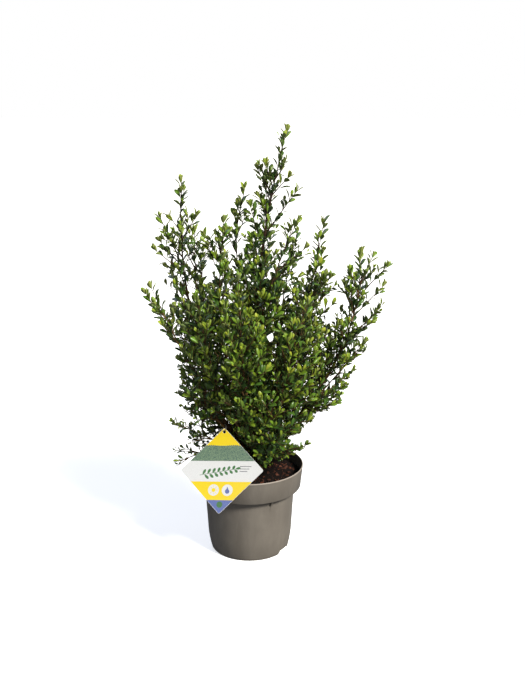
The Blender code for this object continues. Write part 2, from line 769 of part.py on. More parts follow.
def make_ring(tag):
    """The ring passes through the card's hole and round the bough above it."""
    thread = tag.hole + tag.up * (TAG_HOLE_RADIUS - RING_WIRE - 2 * GAP)
    centre = thread + tag.up * RING_RADIUS
    through = tag.front * math.cos(RING_TURN) + tag.right * math.sin(RING_TURN)
    line = []
    for i in range(RING_STEPS):
        angle = math.tau * i / RING_STEPS
        line.append(centre + (tag.up * -math.cos(angle) + through * math.sin(angle)) * RING_RADIUS)
    radii = [RING_WIRE] * RING_STEPS
    return object_from("tag_ring", tube("tag_ring", line, radii, RING_SIDES, closed=True), "tag_ring")


def main():
    for old in list(bpy.data.objects):
        bpy.data.objects.remove(old)
    paths = limb_paths()
    tag = Tag(pot_profile())
    make_pot()
    make_soil()
    make_trunk(paths)
    make_boughs(paths)
    make_masses(paths, Space(paths, tag))
    make_tag(tag)
    make_ring(tag)


main()
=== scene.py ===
import itertools
import json
import math
import random

import bmesh
import bpy
import numpy as np
from mathutils import Matrix, Vector, noise

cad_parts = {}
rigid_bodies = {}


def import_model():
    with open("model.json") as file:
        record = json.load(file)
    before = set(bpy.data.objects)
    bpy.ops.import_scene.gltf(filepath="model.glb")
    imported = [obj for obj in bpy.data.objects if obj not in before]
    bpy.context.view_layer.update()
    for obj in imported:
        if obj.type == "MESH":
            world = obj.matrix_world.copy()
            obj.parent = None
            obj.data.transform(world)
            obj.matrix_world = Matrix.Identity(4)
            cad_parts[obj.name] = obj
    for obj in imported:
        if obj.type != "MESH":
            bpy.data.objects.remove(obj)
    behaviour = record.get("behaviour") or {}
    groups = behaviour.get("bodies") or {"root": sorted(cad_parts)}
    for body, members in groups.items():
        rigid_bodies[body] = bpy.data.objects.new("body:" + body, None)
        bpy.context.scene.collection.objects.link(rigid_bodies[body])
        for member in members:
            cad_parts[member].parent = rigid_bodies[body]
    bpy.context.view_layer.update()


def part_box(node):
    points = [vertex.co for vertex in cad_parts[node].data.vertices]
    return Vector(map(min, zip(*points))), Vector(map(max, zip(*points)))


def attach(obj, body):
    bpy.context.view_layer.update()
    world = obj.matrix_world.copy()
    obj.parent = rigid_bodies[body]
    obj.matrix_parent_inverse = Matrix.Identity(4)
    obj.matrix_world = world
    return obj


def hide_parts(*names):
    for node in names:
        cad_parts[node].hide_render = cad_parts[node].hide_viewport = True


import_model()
scene = bpy.context.scene


# Camera, at the height and distance from which the photograph's pot and crown both line up
cameraSettings = {
    "place": (0.0274, -1.827, 0.947),
    "pitch": 15.68,          # degrees down
    "lens": 47.79,           # mm on a 36 mm sensor
}
cameraData = bpy.data.cameras.new("camera")
cameraData.lens = cameraSettings["lens"]
cameraData.sensor_width = 36.0
cameraData.clip_start = 0.05
camera = bpy.data.objects.new("camera", cameraData)
camera.location = cameraSettings["place"]
camera.rotation_euler = (math.radians(90 - cameraSettings["pitch"]), 0.0, 0.0)
scene.collection.objects.link(camera)
scene.camera = camera
scene.view_settings.view_transform = "Standard"
print("camera set")


# Small helpers

def linearColour(hexValue):
    # sRGB hex, as read off a photograph, to the linear values that a shader takes
    parts = [int(hexValue[i:i + 2], 16) / 255 for i in (1, 3, 5)]
    straight = [p / 12.92 if p <= 0.04045 else ((p + 0.055) / 1.055) ** 2.4 for p in parts]
    return (*straight, 1.0)


def addNode(tree, kind, settings=None, inputs=None, stops=()):
    # A node with its settings; an input is a value, or a socket to link from; stops are a colour ramp's
    node = tree.nodes.new(kind)
    for key, value in (settings or {}).items():
        setattr(node, key, value)
    for key, value in (inputs or {}).items():
        if isinstance(value, bpy.types.NodeSocket):
            tree.links.new(value, node.inputs[key])
        else:
            node.inputs[key].default_value = value
    if stops:
        ramp = node.color_ramp.elements
        while len(ramp) < len(stops):
            ramp.new(0.5)
        for element, (place, hexValue) in zip(ramp, stops):
            element.position = place
            element.color = linearColour(hexValue)
    return node


def grain(tree, place, sizeMm, detail=3.0, stretch=(1, 1, 1), distortion=0.0):
    # Noise whose blotches are about sizeMm across; stretch below 1 draws them out along that axis
    mapped = addNode(tree, "ShaderNodeMapping", inputs={"Vector": place, "Scale": stretch})
    return addNode(tree, "ShaderNodeTexNoise", inputs={
        "Vector": mapped.outputs["Vector"], "Scale": 1000.0 / sizeMm, "Detail": detail,
        "Distortion": distortion}).outputs["Fac"]


def newFinish(name, sockets):
    # An empty Principled finish, with the values that are the same all over it
    finish = bpy.data.materials.new(name)
    finish.use_nodes = True
    tree = finish.node_tree
    for key, value in sockets.items():
        tree.nodes["Principled BSDF"].inputs[key].default_value = value
    return finish, tree, addNode(tree, "ShaderNodeTexCoord").outputs["Object"]


def wired(finish, sources):
    # Links what varies over a finish to its shader's sockets
    tree = finish.node_tree
    for key, source in sources.items():
        tree.links.new(source, tree.nodes["Principled BSDF"].inputs[key])
    return finish


def objectFrom(name, mesh, finish=None):
    made = bpy.data.objects.new(name, mesh)
    if finish:
        mesh.materials.append(finish)
    scene.collection.objects.link(made)
    return made


def meshFrom(name, points, faces, edges=()):
    mesh = bpy.data.meshes.new(name)
    mesh.from_pydata([tuple(p) for p in points], [tuple(e) for e in edges], faces)
    mesh.update()
    return mesh


def bake(piece):
    # Applies every modifier: the evaluated mesh takes the piece's place
    graph = bpy.context.evaluated_depsgraph_get()
    result = bpy.data.meshes.new_from_object(piece.evaluated_get(graph))
    piece.modifiers.clear()
    old = piece.data
    piece.data = result
    if isinstance(old, bpy.types.Mesh):
        bpy.data.meshes.remove(old)
    piece.data.name = piece.name
    return piece


def useTree(piece, tree, values):
    # Puts a geometry tree on the piece, sets its inputs by identifier, and keeps the plain result
    modifier = piece.modifiers.new(tree.name, "NODES")
    modifier.node_group = tree
    sockets = {s.name: s.identifier for s in tree.interface.items_tree if s.in_out == "INPUT"}
    for name, value in values.items():
        modifier[sockets[name]] = value
    return bake(piece)


def newTree(name, sockets):
    # A geometry tree with named inputs; returns it with its inputs and its output socket
    tree = bpy.data.node_groups.new(name, "GeometryNodeTree")
    tree.interface.new_socket("Geometry", in_out="INPUT", socket_type="NodeSocketGeometry")
    for label, (kind, value) in sockets.items():
        socket = tree.interface.new_socket(label, in_out="INPUT", socket_type="NodeSocket" + kind)
        if value is not None:
            socket.default_value = value
    tree.interface.new_socket("Geometry", in_out="OUTPUT", socket_type="NodeSocketGeometry")
    return tree, addNode(tree, "NodeGroupInput").outputs, addNode(tree, "NodeGroupOutput").inputs[0]


def meshOf(shape, name):
    # A bmesh turned into a mesh, and let go
    mesh = bpy.data.meshes.new(name)
    shape.to_mesh(mesh)
    shape.free()
    return mesh


def extruded(shape, outline, low, thickness):
    # Adds a flat plate with this outline to a bmesh
    face = shape.faces.new([shape.verts.new((x, y, low)) for x, y in outline])
    raised = bmesh.ops.extrude_face_region(shape, geom=[face])["geom"]
    top = [v for v in raised if isinstance(v, bmesh.types.BMVert)]
    bmesh.ops.translate(shape, vec=(0, 0, thickness), verts=top)


def cylinder(name, radius, depth, sides, place):
    shape = bmesh.new()
    bmesh.ops.create_cone(shape, cap_ends=True, segments=sides, radius1=radius, radius2=radius, depth=depth,
                          matrix=place)
    return meshOf(shape, name)


def setAttribute(mesh, name, kind, domain, values):
    data = mesh.attributes.new(name, kind, domain).data
    data.foreach_set("vector" if kind == "FLOAT_VECTOR" else "value", values)


def dropGroup(group):
    for member in list(group.objects):
        bpy.data.objects.remove(member)
    bpy.data.collections.remove(group)


def ringPoint(centre, radius, angle):
    return centre[0] + radius * math.cos(angle), centre[1] + radius * math.sin(angle)


def triangleCount(piece):
    piece.data.calc_loop_triangles()
    return len(piece.data.loop_triangles)


# Limbs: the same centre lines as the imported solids, which the finer growth starts from

plant = {
    "foot": Vector((0.010, 0.004, 0.169)),
    "forkRise": 0.020,
    "armLength": 0.056,
    "jointGap": 0.0005,
    "tipRadius": 0.0010,
    "forkRatio": 0.78,
    "outlineFoot": 0.200,        # below this the pot and the tag bound the crown
}

limbKeys = ("bend", "tip", "bough", "spread", "leaf", "seed", "radius", "parent", "fork")
limbRows = (
    # bend and tip are in millimetres, spread and radius in metres. bough is the share of the limb that is
    # bare, spread the longest twig of its mass, leaf the size of the solid leaf that each spray takes the
    # place of. A limb that grows out of another has no radius, but its parent and the share where it forks.
    ("crown_leader", (-10, 0, 540), (67, 0, 843), 0.58, 0.100, 0.72, 36, 0.0062),
    ("left_leader", (-152, 30, 455), (-131, -10, 746), 0.50, 0.092, 0.78, 118, 0.0056),
    ("left_low", (-92, -55, 350), (-178, -40, 542), 0.36, 0.066, 0.90, 56, 0.0050),
    ("left_bottom", (-70, -40, 255), (-122, -66, 288), 0.00, 0.075, 1.00, 47, 0.0040),
    ("left_rim", (-60, -20, 215), (-122, -30, 224), 0.00, 0.048, 0.80, 55, 0.0034),
    ("right_leader", (105, 0, 440), (143, 0, 666), 0.45, 0.055, 0.80, 96, 0.0055),
    ("right_outer", (222, -20, 400), (222, 0, 604), 0.45, 0.106, 0.85, 98, 0.0055),
    ("right_bottom", (100, 45, 270), (190, 45, 352), 0.00, 0.065, 1.00, 90, 0.0044),
    ("right_rim", (62, -30, 212), (98, -52, 238), 0.00, 0.050, 0.75, 42, 0.0034),
    ("front", (-10, -150, 380), (-16, -150, 570), 0.30, 0.085, 1.10, 107, 0.0052),
    ("front_low", (40, -85, 230), (45, -145, 350), 0.00, 0.100, 1.05, 22, 0.0042),
    ("back", (20, 165, 420), (30, 165, 650), 0.36, 0.088, 1.10, 27, 0.0055),
    ("back_low", (10, 85, 240), (5, 175, 350), 0.00, 0.095, 1.10, 50, 0.0044),
    ("left_second", (-112, 70, 430), (-110, 45, 636), 0.30, 0.062, 0.95, 139, None, "left_leader", 0.30),
    ("left_mid", (-78, -89, 316), (-118, -75, 418), 0.32, 0.075, 0.95, 82, None, "left_low", 0.22),
    ("mid_left", (-75, -60, 420), (-50, -62, 670), 0.34, 0.072, 0.95, 77, None, "crown_leader", 0.15),
    ("centre_left", (-30, 30, 560), (-24, 30, 690), 0.24, 0.066, 0.95, 128, None, "crown_leader", 0.34),
    ("centre_right", (12, -55, 520), (82, -42, 676), 0.36, 0.058, 0.80, 126, None, "crown_leader", 0.26),
    ("right_inner", (48, 60, 440), (90, 55, 632), 0.34, 0.064, 0.95, 28, None, "right_leader", 0.30),
    ("right_low", (140, -60, 355), (206, -45, 432), 0.30, 0.085, 1.00, 8, None, "right_outer", 0.22),
    ("front_left", (-70, -100, 370), (-90, -120, 530), 0.24, 0.076, 1.10, 5, None, "front", 0.16),
    ("front_right", (70, -115, 350), (105, -120, 520), 0.24, 0.088, 1.10, 100, None, "front", 0.20),
    ("back_left", (-90, 130, 390), (-105, 130, 585), 0.34, 0.082, 1.10, 106, None, "back", 0.20),
    ("back_right", (130, 130, 390), (150, 130, 575), 0.34, 0.084, 1.10, 8, None, "back", 0.26),
)
limbs = {name: dict(zip(limbKeys, row)) for name, *row in limbRows}

# Tips of the long side shoots that show in the photograph, in millimetres. Each grows out of the limb that
# reaches it at a natural angle by the shortest way.
shootTips = (
    (101, 10, 763), (84, -10, 790), (14, 15, 805), (29, -15, 817), (-5, -10, 769), (-13, 20, 738),
    (40, 30, 786), (88, -40, 705), (-31, 20, 713), (-175, -20, 715), (-164, 30, 711), (-164, -45, 686),
    (-181, 0, 663), (-188, -30, 649), (-155, 60, 675), (-95, -15, 715), (-88, -75, 688), (-66, -40, 683),
    (-41, -80, 697), (-113, 50, 649), (-206, -45, 569), (-184, -70, 552), (-167, -85, 510),
    (-140, -95, 550), (-138, -60, 432), (-147, -60, 362), (-157, -62, 298), (-147, -30, 236),
    (-150, -75, 219), (117, -40, 655), (140, -30, 622), (157, 20, 592), (165, -35, 597), (196, -30, 610),
    (219, 0, 636), (252, 20, 632), (278, -20, 616), (279, 25, 568), (272, -15, 536), (261, 35, 497),
    (188, 30, 572), (169, -60, 548), (177, 10, 507), (229, -45, 455), (208, 30, 367), (185, -30, 347),
    (169, 40, 292), (136, 30, 274), (93, 20, 241), (108, -60, 247), (-74, -150, 524), (-46, -175, 481),
    (-10, -185, 487), (-17, -165, 562), (-6, -130, 575), (6, -175, 557), (72, -165, 504), (21, -190, 397),
    (-51, -150, 378), (-12, -140, 305), (-93, -110, 520), (38, -190, 453), (98, -150, 472),
    (133, -130, 467), (67, -150, 357), (100, -130, 381), (-83, -125, 425), (-103, -105, 354),
    (26, -185, 524), (150, -30, 480), (160, 20, 455), (135, -45, 500), (125, 30, 455), (165, -20, 430),
    (140, -50, 420), (-100, -60, 275), (-85, -80, 300), (15, 10, 752), (28, -10, 735), (94, 0, 585),
    (88, -30, 565), (-45, -30, 645), (-55, 0, 628), (-45, -100, 545), (-150, 0, 575), (-138, 20, 560),
    (182, -20, 500), (188, 20, 470),
)

# The crown's outline as the camera sees it, in millimetres across and up the plane through the trunk; its
# lower edge over the compost; and the larger places inside it where the sky shows, each by its middle and
# its half width and half height
crownOutline = (
    (75, 885), (88, 858), (73, 837), (77, 812), (65, 800), (71, 793), (88, 795), (84, 767), (101, 768),
    (107, 757), (64, 698), (76, 697), (82, 708), (93, 704), (80, 673), (104, 663), (95, 640), (112, 632),
    (109, 651), (126, 671), (128, 694), (139, 694), (151, 671), (141, 658), (147, 651), (139, 629),
    (153, 606), (188, 584), (189, 607), (204, 614), (212, 642), (224, 644), (233, 630), (247, 643),
    (257, 641), (265, 628), (260, 611), (277, 619), (289, 611), (271, 585), (285, 564), (265, 547),
    (280, 522), (262, 513), (255, 491), (220, 461), (227, 450), (237, 454), (244, 447), (241, 430),
    (187, 389), (191, 382), (201, 387), (214, 367), (206, 349), (193, 347), (196, 322), (172, 314),
    (165, 300), (137, 297), (137, 282), (110, 266), (108, 252), (82, 244), (88, 229), (119, 224),
    (107, 208), (115, 192), (-163, 176), (-154, 203), (-162, 217), (-134, 242), (-173, 277), (-139, 286),
    (-130, 276), (-124, 291), (-161, 330), (-141, 368), (-152, 419), (-134, 433), (-175, 468), (-190, 509),
    (-202, 521), (-204, 536), (-190, 548), (-169, 535), (-166, 515), (-159, 513), (-160, 528), (-149, 545),
    (-167, 568), (-173, 602), (-202, 644), (-171, 684), (-146, 695), (-147, 711), (-134, 737), (-146, 763),
    (-134, 782), (-123, 779), (-113, 763), (-121, 751), (-118, 709), (-109, 708), (-102, 722), (-87, 717),
    (-85, 708), (-102, 683), (-80, 678), (-54, 683), (-46, 692), (-31, 686), (-38, 718), (-12, 721),
    (-21, 736), (-10, 753), (-19, 772), (2, 778), (15, 773), (3, 808), (58, 832), (51, 873), (58, 883),
)
potMouthLine = ((26, 164), (60, 190), (120, 216))
skyOpenings = (
    (173, 526, 12, 41), (-81, 593, 12, 25), (224, 505, 22, 18), (-113, 550, 12, 17), (52, 720, 16, 25),
    (169, 368, 12, 14), (46, 591, 10, 12), (-142, 674, 8, 14), (149, 529, 6, 20), (-20, 643, 10, 14),
    (-168, 626, 9, 14), (232, 612, 6, 17), (66, 618, 9, 11), (-114, 611, 7, 13), (43, 461, 9, 9),
    (191, 538, 9, 8), (1, 683, 5, 10), (-133, 224, 9, 9), (66, 539, 6, 9), (251, 563, 7, 13),
    (237, 541, 5, 11), (113, 602, 4, 11),
)


class LimbPath:
    # A limb's centre line, a curve from start by bend to tip, read by distance along it
    def __init__(self, start, bend, tip):
        shares = np.linspace(0.0, 1.0, 81)[:, None]
        a, b, c = (np.array(p, float) for p in (start, bend, tip))
        self.points = a * (1 - shares) ** 2 + b * 2 * shares * (1 - shares) + c * shares**2
        steps = np.linalg.norm(np.diff(self.points, axis=0), axis=1)
        self.distance = np.concatenate([[0.0], np.cumsum(steps)])
        self.length = float(self.distance[-1])

    def at(self, distance):
        return Vector([float(np.interp(distance, self.distance, self.points[:, k])) for k in range(3)])

    def along(self, distance):
        step = 0.002
        low = min(max(distance - step, 0.0), self.length - 2 * step)
        return (self.at(low + 2 * step) - self.at(low)).normalized()


def makeLimbPaths():
    paths = {}
    for name, limb in limbs.items():
        if "parent" in limb:
            parent = paths[limb["parent"]]
            start = parent.at(limb["fork"] * parent.length)
        else:
            start = plant["foot"] + Vector((0, 0, plant["forkRise"]))
        paths[name] = LimbPath(start, np.array(limb["bend"]) / 1000, np.array(limb["tip"]) / 1000)
    return paths


def limbRadius(name, share):
    limb = limbs[name]
    base = limb["radius"] or plant["forkRatio"] * limbRadius(limb["parent"], limb["fork"])
    return base + (plant["tipRadius"] - base) * share**0.85


def massStart(name, path):
    # Distance along the limb at which its bare bough ends and its mass begins
    return limbs[name]["bough"] * path.length or plant["armLength"]


def sideways(direction, turn):
    # A unit vector square to a direction, turned round it
    across = direction.cross(Vector((0, 0, 1)))
    if across.length < 1e-4:
        across = Vector((1, 0, 0))
    across.normalize()
    up = across.cross(direction).normalized()
    return across * math.cos(turn) + up * math.sin(turn)


# Hang tag's place: it leans back on the rim, turned to the viewer's left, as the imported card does

tagCard = {
    "side": 0.1245, "thickness": 0.0008, "corner": 0.004,
    "yaw": 18.1, "lean": 32.2, "roll": 6.6,          # degrees
    "holeRadius": 0.0033, "holeInset": 0.0085, "clearance": 0.006,
    "ringWire": 0.0008, "ringRadius": 0.0063, "ringTurn": 45.0,
}
yaw, lean, roll = (math.radians(tagCard[k]) for k in ("yaw", "lean", "roll"))
tagFront = Vector((-math.sin(yaw) * math.cos(lean), -math.cos(yaw) * math.cos(lean), math.sin(lean)))
tagLevel = Vector((math.cos(yaw), -math.sin(yaw), 0.0))
tagRise = tagFront.cross(tagLevel)
tagRight = (tagLevel * math.cos(roll) + tagRise * math.sin(roll)).normalized()
tagUp = (tagRise * math.cos(roll) - tagLevel * math.sin(roll)).normalized()
tagCentre = sum(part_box("tag"), Vector()) / 2
tagReach = tagCard["side"] / math.sqrt(2)
tagHole = tagCentre + tagUp * (tagReach - tagCard["holeInset"])
tagPlace = Matrix.Translation(tagCentre) @ Matrix((tagRight, tagUp, tagFront)).transposed().to_4x4()
print("tag centre", [round(c, 4) for c in tagCentre])


# The pot's sizes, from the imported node, in metres
pot = {
    "height": 0.187, "rimRadius": 0.113, "collarFootRadius": 0.1075, "collarFootZ": 0.140,
    "bodyTopRadius": 0.0945, "bodyLowRadius": 0.0892, "bodyLowZ": 0.050, "baseRadius": 0.0815,
    "wall": 0.0022, "lip": 0.0035, "padRadius": 0.046, "channelRadius": 0.074, "channelHeight": 0.0105,
    "notchAzimuths": (-27.0, 153.0), "notchWidth": 0.046, "notchHeight": 0.0095,
    "ribs": 6, "ribAzimuth": -2.0, "ribReach": 0.0105, "ribDrop": 0.018, "ribThickness": 0.0026,
    "drains": 6, "drainRing": 0.061, "drainRadius": 0.005,
    "segments": 168, "sharpAngle": 32.0,
}
soil = {"z": 0.1690, "edgeZ": 0.1640, "levelRadius": 0.028}


# Growth. Twigs follow the source's rule: by the golden angle up each stem, shorter and steeper towards its
# tip. Here every solid leaf of the source becomes a spray: a short shoot with life-size leaves.

growth = {
    # pairs are the ends of a range that chance draws from, unless a comment says otherwise
    "seed": 4, "goldenAngle": math.radians(137.5), "lift": 0.60, "taper": 0.60,
    "lineStep": 0.012,           # between the points of a shoot's line
    "solidLeaf": 0.050,          # length of the source's leaf
    "spaceMargin": 0.0035, "limbMargin": 0.0025, "sprayMargin": 0.003, "placeMargin": 0.004,
    # radii at the foot of each kind of shoot and at its tip
    "stemRadius": 0.0014, "stemTip": 0.0006, "twigRadius": 0.0014, "boughTwigRadius": 0.0013,
    "fillRadius": 0.0011, "sprayRadius": 0.00085, "sprayTip": 0.00050, "twigTip": 0.00055, "taperPower": 0.8,
    # the source's twigs; it tries each one up to seven times, turned on and shorter
    "twigSpacing": 0.034, "angleLow": math.radians(50), "angleHigh": math.radians(30),
    "twigFirst": 0.04, "twigRange": 0.84, "twigLengths": (0.85, 1.10), "twigLeafy": 0.72,
    "tries": 7, "tryTurn": 0.8, "tryShorter": 0.10,
    "stemOn": 0.70, "twigOn": 0.36,              # how far they go on into the solid leaf at their tip
    "spraySpacing": 0.0190, "sprayReach": 0.95, "sprayAngle": math.radians(40), "sprayTaper": 0.30,
    "sprayLift": 0.25, "sprayLeafy": 0.90, "sprayTipSize": 0.72, "sprayLengths": (0.65, 1.12),
    "sprayAngles": (0.85, 1.15), "sprayVigour": (0.5, 1.3), "spraySteps": (0.8, 1.25),
    "shootAngle": math.radians(26.0),            # at which a long side shoot leaves its limb
    "steepCost": 5.0, "closeCost": 1.1,          # of leaving it wider or closer than that
    "shootPlaces": (0.25, 0.97, 37),             # along the limb: first, last and how many are tried
    "shootShortest": 0.020, "shootLongest": 0.24, "shootDrop": -0.02, "shootSag": 0.18,
    "sprayedLength": 0.045,      # a long shoot beyond this length has sprays
    "tipLeaf": 0.009,            # the tips above are those of leaves, so a shoot ends this much before
    "tipClearance": 0.016,       # a twig of the rule keeps this far from the tip of a long shoot
    "boughFirst": 0.45, "boughSpacing": 0.0120, "boughLengths": (0.045, 0.090), "boughLeaf": 0.8,
    "boughAngle": math.radians(48), "boughAngles": (0.8, 1.1), "boughSteps": (0.8, 1.2),
    "boughVigour": (0.4, 1.2),
    "fillPlaces": 1400,          # places tried for each metre of limb
    "fillGap": 0.0168,           # a place is empty where no leaf is nearer than this
    "fillHeights": (0.24, 0.36, 0.54, 0.66),     # and the gap grows with height, by these shares
    "fillShares": (0.70, 0.98, 1.05, 1.8),
    "fillAngle": math.radians(32), "fillReach": 0.080, "fillFirst": 0.35, "fillAlong": (0.12, 1.0),
    "fillOut": (0.06, 1.0), "fillBow": 0.35, "fillMiddle": 0.45, "fillVigour": (0.35, 1.3), "fillLeafy": 0.80,
}

leafSettings = {
    "length": 0.0232, "width": 0.0098, "spacing": 0.0078, "upright": 0.42,
    "facing": 0.55,              # how far leaves turn their upper side up and out of the crown
    "angleLow": 54.0, "angleTip": 36.0,          # degrees from the shoot, low on it and at its tip
    "sizeHeights": (0.20, 0.34, 0.50), "sizeThere": (0.66, 0.88, 1.00),      # smaller low in the crown
    "shadeHeights": (0.22, 0.42), "shadeAge": 1.8,       # and counted older there, so deeper in colour: partly older leaves, partly painted shade
    "places": (0.60, 0.75, 0.90),                # middle, shoulder and end of a leaf, by its length
    # the cluster at a tip; angles and sizes there by their start and their gain, in shares
    "tipLeaves": 5, "tipStep": 0.0013, "tipInset": 0.0005, "tipAge": 0.006, "tipAgeStep": 0.0012,
    "tipPitch": 0.0036, "tipAngles": (0.35, 0.75), "tipSizes": (0.62, 0.42), "tipTilt": 5,
    "tipSpread": (0.9, 1.08),
    # the leaves after it; they reach full angle, size and spacing some way back from the tip
    "firstGap": 0.0035, "rampLength": 0.030, "lowAngles": (0.45, 0.55), "tilt": 9, "spread": (0.84, 1.10),
    "turn": 0.25, "closeLength": 0.025, "closeSteps": (0.72, 0.28), "steps": (0.85, 1.2),
    "pitch": 0.0068, "skip": 0.05,
}


class GrowthSpace:
    # Tells whether points lie nearer a limb's own stem than any other, and clear of the bare limbs
    def __init__(self, paths):
        self.stems = {}
        bare = []
        for name, path in paths.items():
            last = massStart(name, path)
            self.stems[name] = np.array([path.at(d) for d in np.arange(last, path.length, 0.004)])
            bare += [(*path.at(d), limbRadius(name, d / path.length)) for d in np.arange(0.0, last, 0.003)]
        self.bare = np.array(bare)

    def own(self, name, points):
        points = np.array(points, float)
        here = self.nearest(self.stems[name], points)
        others = [self.nearest(stem, points) for other, stem in self.stems.items() if other != name]
        return float((np.min(others, axis=0) - here).min()) >= growth["spaceMargin"]

    def offLimbs(self, points):
        points = np.array(points, float)
        gaps = np.linalg.norm(points[:, None] - self.bare[None, :, :3], axis=2) - self.bare[None, :, 3]
        return gaps.min() >= growth["limbMargin"]

    @staticmethod
    def nearest(stem, points):
        return np.linalg.norm(points[:, None] - stem[None], axis=2).min(axis=1)


def inOpenAir(point, margin=0.0):
    # Above the rim or inside the pot's mouth, off the compost, and not at the tag or its ring
    radius = math.hypot(point.x, point.y)
    overRim = point.z > pot["height"] + 0.004 + margin
    inMouth = radius < pot["rimRadius"] - 0.012 - margin and point.z > soil["z"] + 0.004 + margin
    if not (overRim or inMouth):
        return False
    rel = point - tagCentre
    ahead = rel.dot(tagFront)
    inside = abs(rel.dot(tagRight)) + abs(rel.dot(tagUp)) < tagReach + tagCard["clearance"] + 1.4 * margin
    if inside and ahead > -tagCard["clearance"] - margin:
        return False
    return (point - tagHole - tagUp * tagCard["ringRadius"]).length > 2 * tagCard["ringRadius"]


def onTrunkPlane(point):
    # Where the camera's sight line through a point meets the plane through the trunk
    eye = camera.location
    share = -eye.y / (point.y - eye.y)
    return eye.x + (point.x - eye.x) * share, eye.z + (point.z - eye.z) * share


outlineX, outlineZ = (np.array(column) / 1000 for column in zip(*crownOutline))
mouthX, mouthZ = (np.array(column) / 1000 for column in zip(*potMouthLine))
openings = np.array(skyOpenings) / 1000
openingMiddle, openingSize = openings[:, :2], openings[:, 2:] * 0.85


def showsSky(point):
    # Whether the photograph has no leaf there: outside the crown's outline, in one of its openings, or where
    # the compost shows
    x, z = onTrunkPlane(point)
    if x > mouthX[0] and z < np.interp(x, mouthX, mouthZ):
        return True
    if z < plant["outlineFoot"]:
        return False
    if (np.square((openingMiddle - (x, z)) / openingSize).sum(axis=1) < 1).any():
        return True
    nextX, nextZ = np.roll(outlineX, -1), np.roll(outlineZ, -1)
    spans = (outlineZ > z) != (nextZ > z)
    crossing = outlineX[spans] + (z - outlineZ[spans]) / (nextZ[spans] - outlineZ[spans]) * (
        nextX[spans] - outlineX[spans])
    return np.count_nonzero(crossing > x) % 2 == 0


class Crown:
    # Everything that grows: the shoots' lines and the leaves, kept as plain lists until the pieces are made
    def __init__(self):
        self.shoots = {"stemBark": [], "twigBark": []}
        self.leaves = []
        self.taken = {}
        self.random = random.Random(growth["seed"])

    def tally(self):
        return f"{sum(map(len, self.shoots.values()))} shoots and {len(self.leaves)} leaves"

    def addShoot(self, line, thick, thin=growth["twigTip"], piece="twigBark"):
        # A line of (point, radius), which tapers from thick to thin
        last = len(line) - 1
        radii = [thick + (thin - thick) * (i / last) ** growth["taperPower"] for i in range(last + 1)]
        self.shoots[piece].append(list(zip(line, radii)))

    def near(self, point, gap):
        # Whether a leaf has its middle within the gap of this point
        cell = growth["fillGap"]
        spans = [range(int((c - gap) // cell), int((c + gap) // cell) + 1) for c in point]
        return any((other - point).length < gap
                   for key in itertools.product(*spans) for other in self.taken.get(key, ()))

    def addLeaf(self, root, along, turn, angle, size, age, bounded):
        outward = sideways(along, turn)
        size *= float(np.interp(root.z, leafSettings["sizeHeights"], leafSettings["sizeThere"]))
        axis = along * math.cos(angle) + outward * math.sin(angle) + Vector((0, 0, leafSettings["upright"]))
        axis.normalize()
        outOfCrown = Vector((root.x - plant["foot"].x, root.y - plant["foot"].y, 0.0)).normalized()
        normal = along * math.sin(angle) - outward * math.cos(angle)
        normal += outOfCrown * leafSettings["facing"] + Vector((0, 0, leafSettings["facing"]))
        length = leafSettings["length"] * size
        middle, shoulder, end = (root + axis * (share * length) for share in leafSettings["places"])
        if not inOpenAir(middle) or not inOpenAir(end):
            return
        if bounded and (showsSky(middle) or showsSky(shoulder)):
            return
        if self.near(middle, leafSettings["tipPitch" if age < leafSettings["tipAge"] else "pitch"]):
            return
        self.taken.setdefault(tuple(int(c // growth["fillGap"]) for c in middle), []).append(middle)
        # painted shade: low in the crown a leaf's age is stretched, so it takes deeper colours
        age *= float(np.interp(root.z, leafSettings["shadeHeights"], (leafSettings["shadeAge"], 1.0)))
        self.leaves.append((root, axis, normal, size, age))

    def dress(self, line, vigour, leafy, tipSize=0.85, bounded=True):
        # Leaves back from a shoot's tip: a close cluster, then one by one by the golden angle
        rule = self.random
        total = lengthOf(line)
        phase = rule.uniform(0, math.tau)
        own = leafSettings
        count, low, tip = own["tipLeaves"], own["angleLow"], own["angleTip"]
        for i in range(count):
            root, along = pointOn(line, total - own["tipInset"] - own["tipStep"] * i)
            opened, grown = (start + gain * i / count for start, gain in (own["tipAngles"], own["tipSizes"]))
            angle = math.radians(tip * opened + rule.uniform(-own["tipTilt"], own["tipTilt"]))
            size = tipSize * grown * rule.uniform(*own["tipSpread"])
            turn = phase + growth["goldenAngle"] * i
            self.addLeaf(root, along, turn, angle, size, i * own["tipAgeStep"] / vigour, bounded)
        distance = own["tipStep"] * count + own["firstGap"]
        i = count
        while distance < total * leafy:
            i += 1
            if rule.random() > own["skip"]:
                ramp = min(1.0, distance / own["rampLength"])
                opened = own["lowAngles"][0] + own["lowAngles"][1] * ramp
                angle = math.radians(tip + (low - tip) * opened + rule.uniform(-own["tilt"], own["tilt"]))
                size = (tipSize + (1.0 - tipSize) * ramp) * rule.uniform(*own["spread"])
                root, along = pointOn(line, total - distance)
                turn = phase + growth["goldenAngle"] * i + rule.uniform(-own["turn"], own["turn"])
                self.addLeaf(root, along, turn, angle, size, distance / vigour, bounded)
            closer = own["closeSteps"][0] + own["closeSteps"][1] * min(1.0, distance / own["closeLength"])
            distance += own["spacing"] * closer * rule.uniform(*own["steps"])


def trimmed(line):
    # The part of a line from its root that the crown's outline holds
    for i, point in enumerate(line):
        if i > 1 and showsSky(point):
            return line[:i]
    return line


def lengthOf(line):
    return sum((b - a).length for a, b in zip(line, line[1:]))


def pointOn(line, distance):
    for a, b in zip(line, line[1:]):
        step = (b - a).length
        if distance <= step or b is line[-1]:
            return a + (b - a) * (min(max(distance, 0.0), step) / step), (b - a).normalized()
        distance -= step


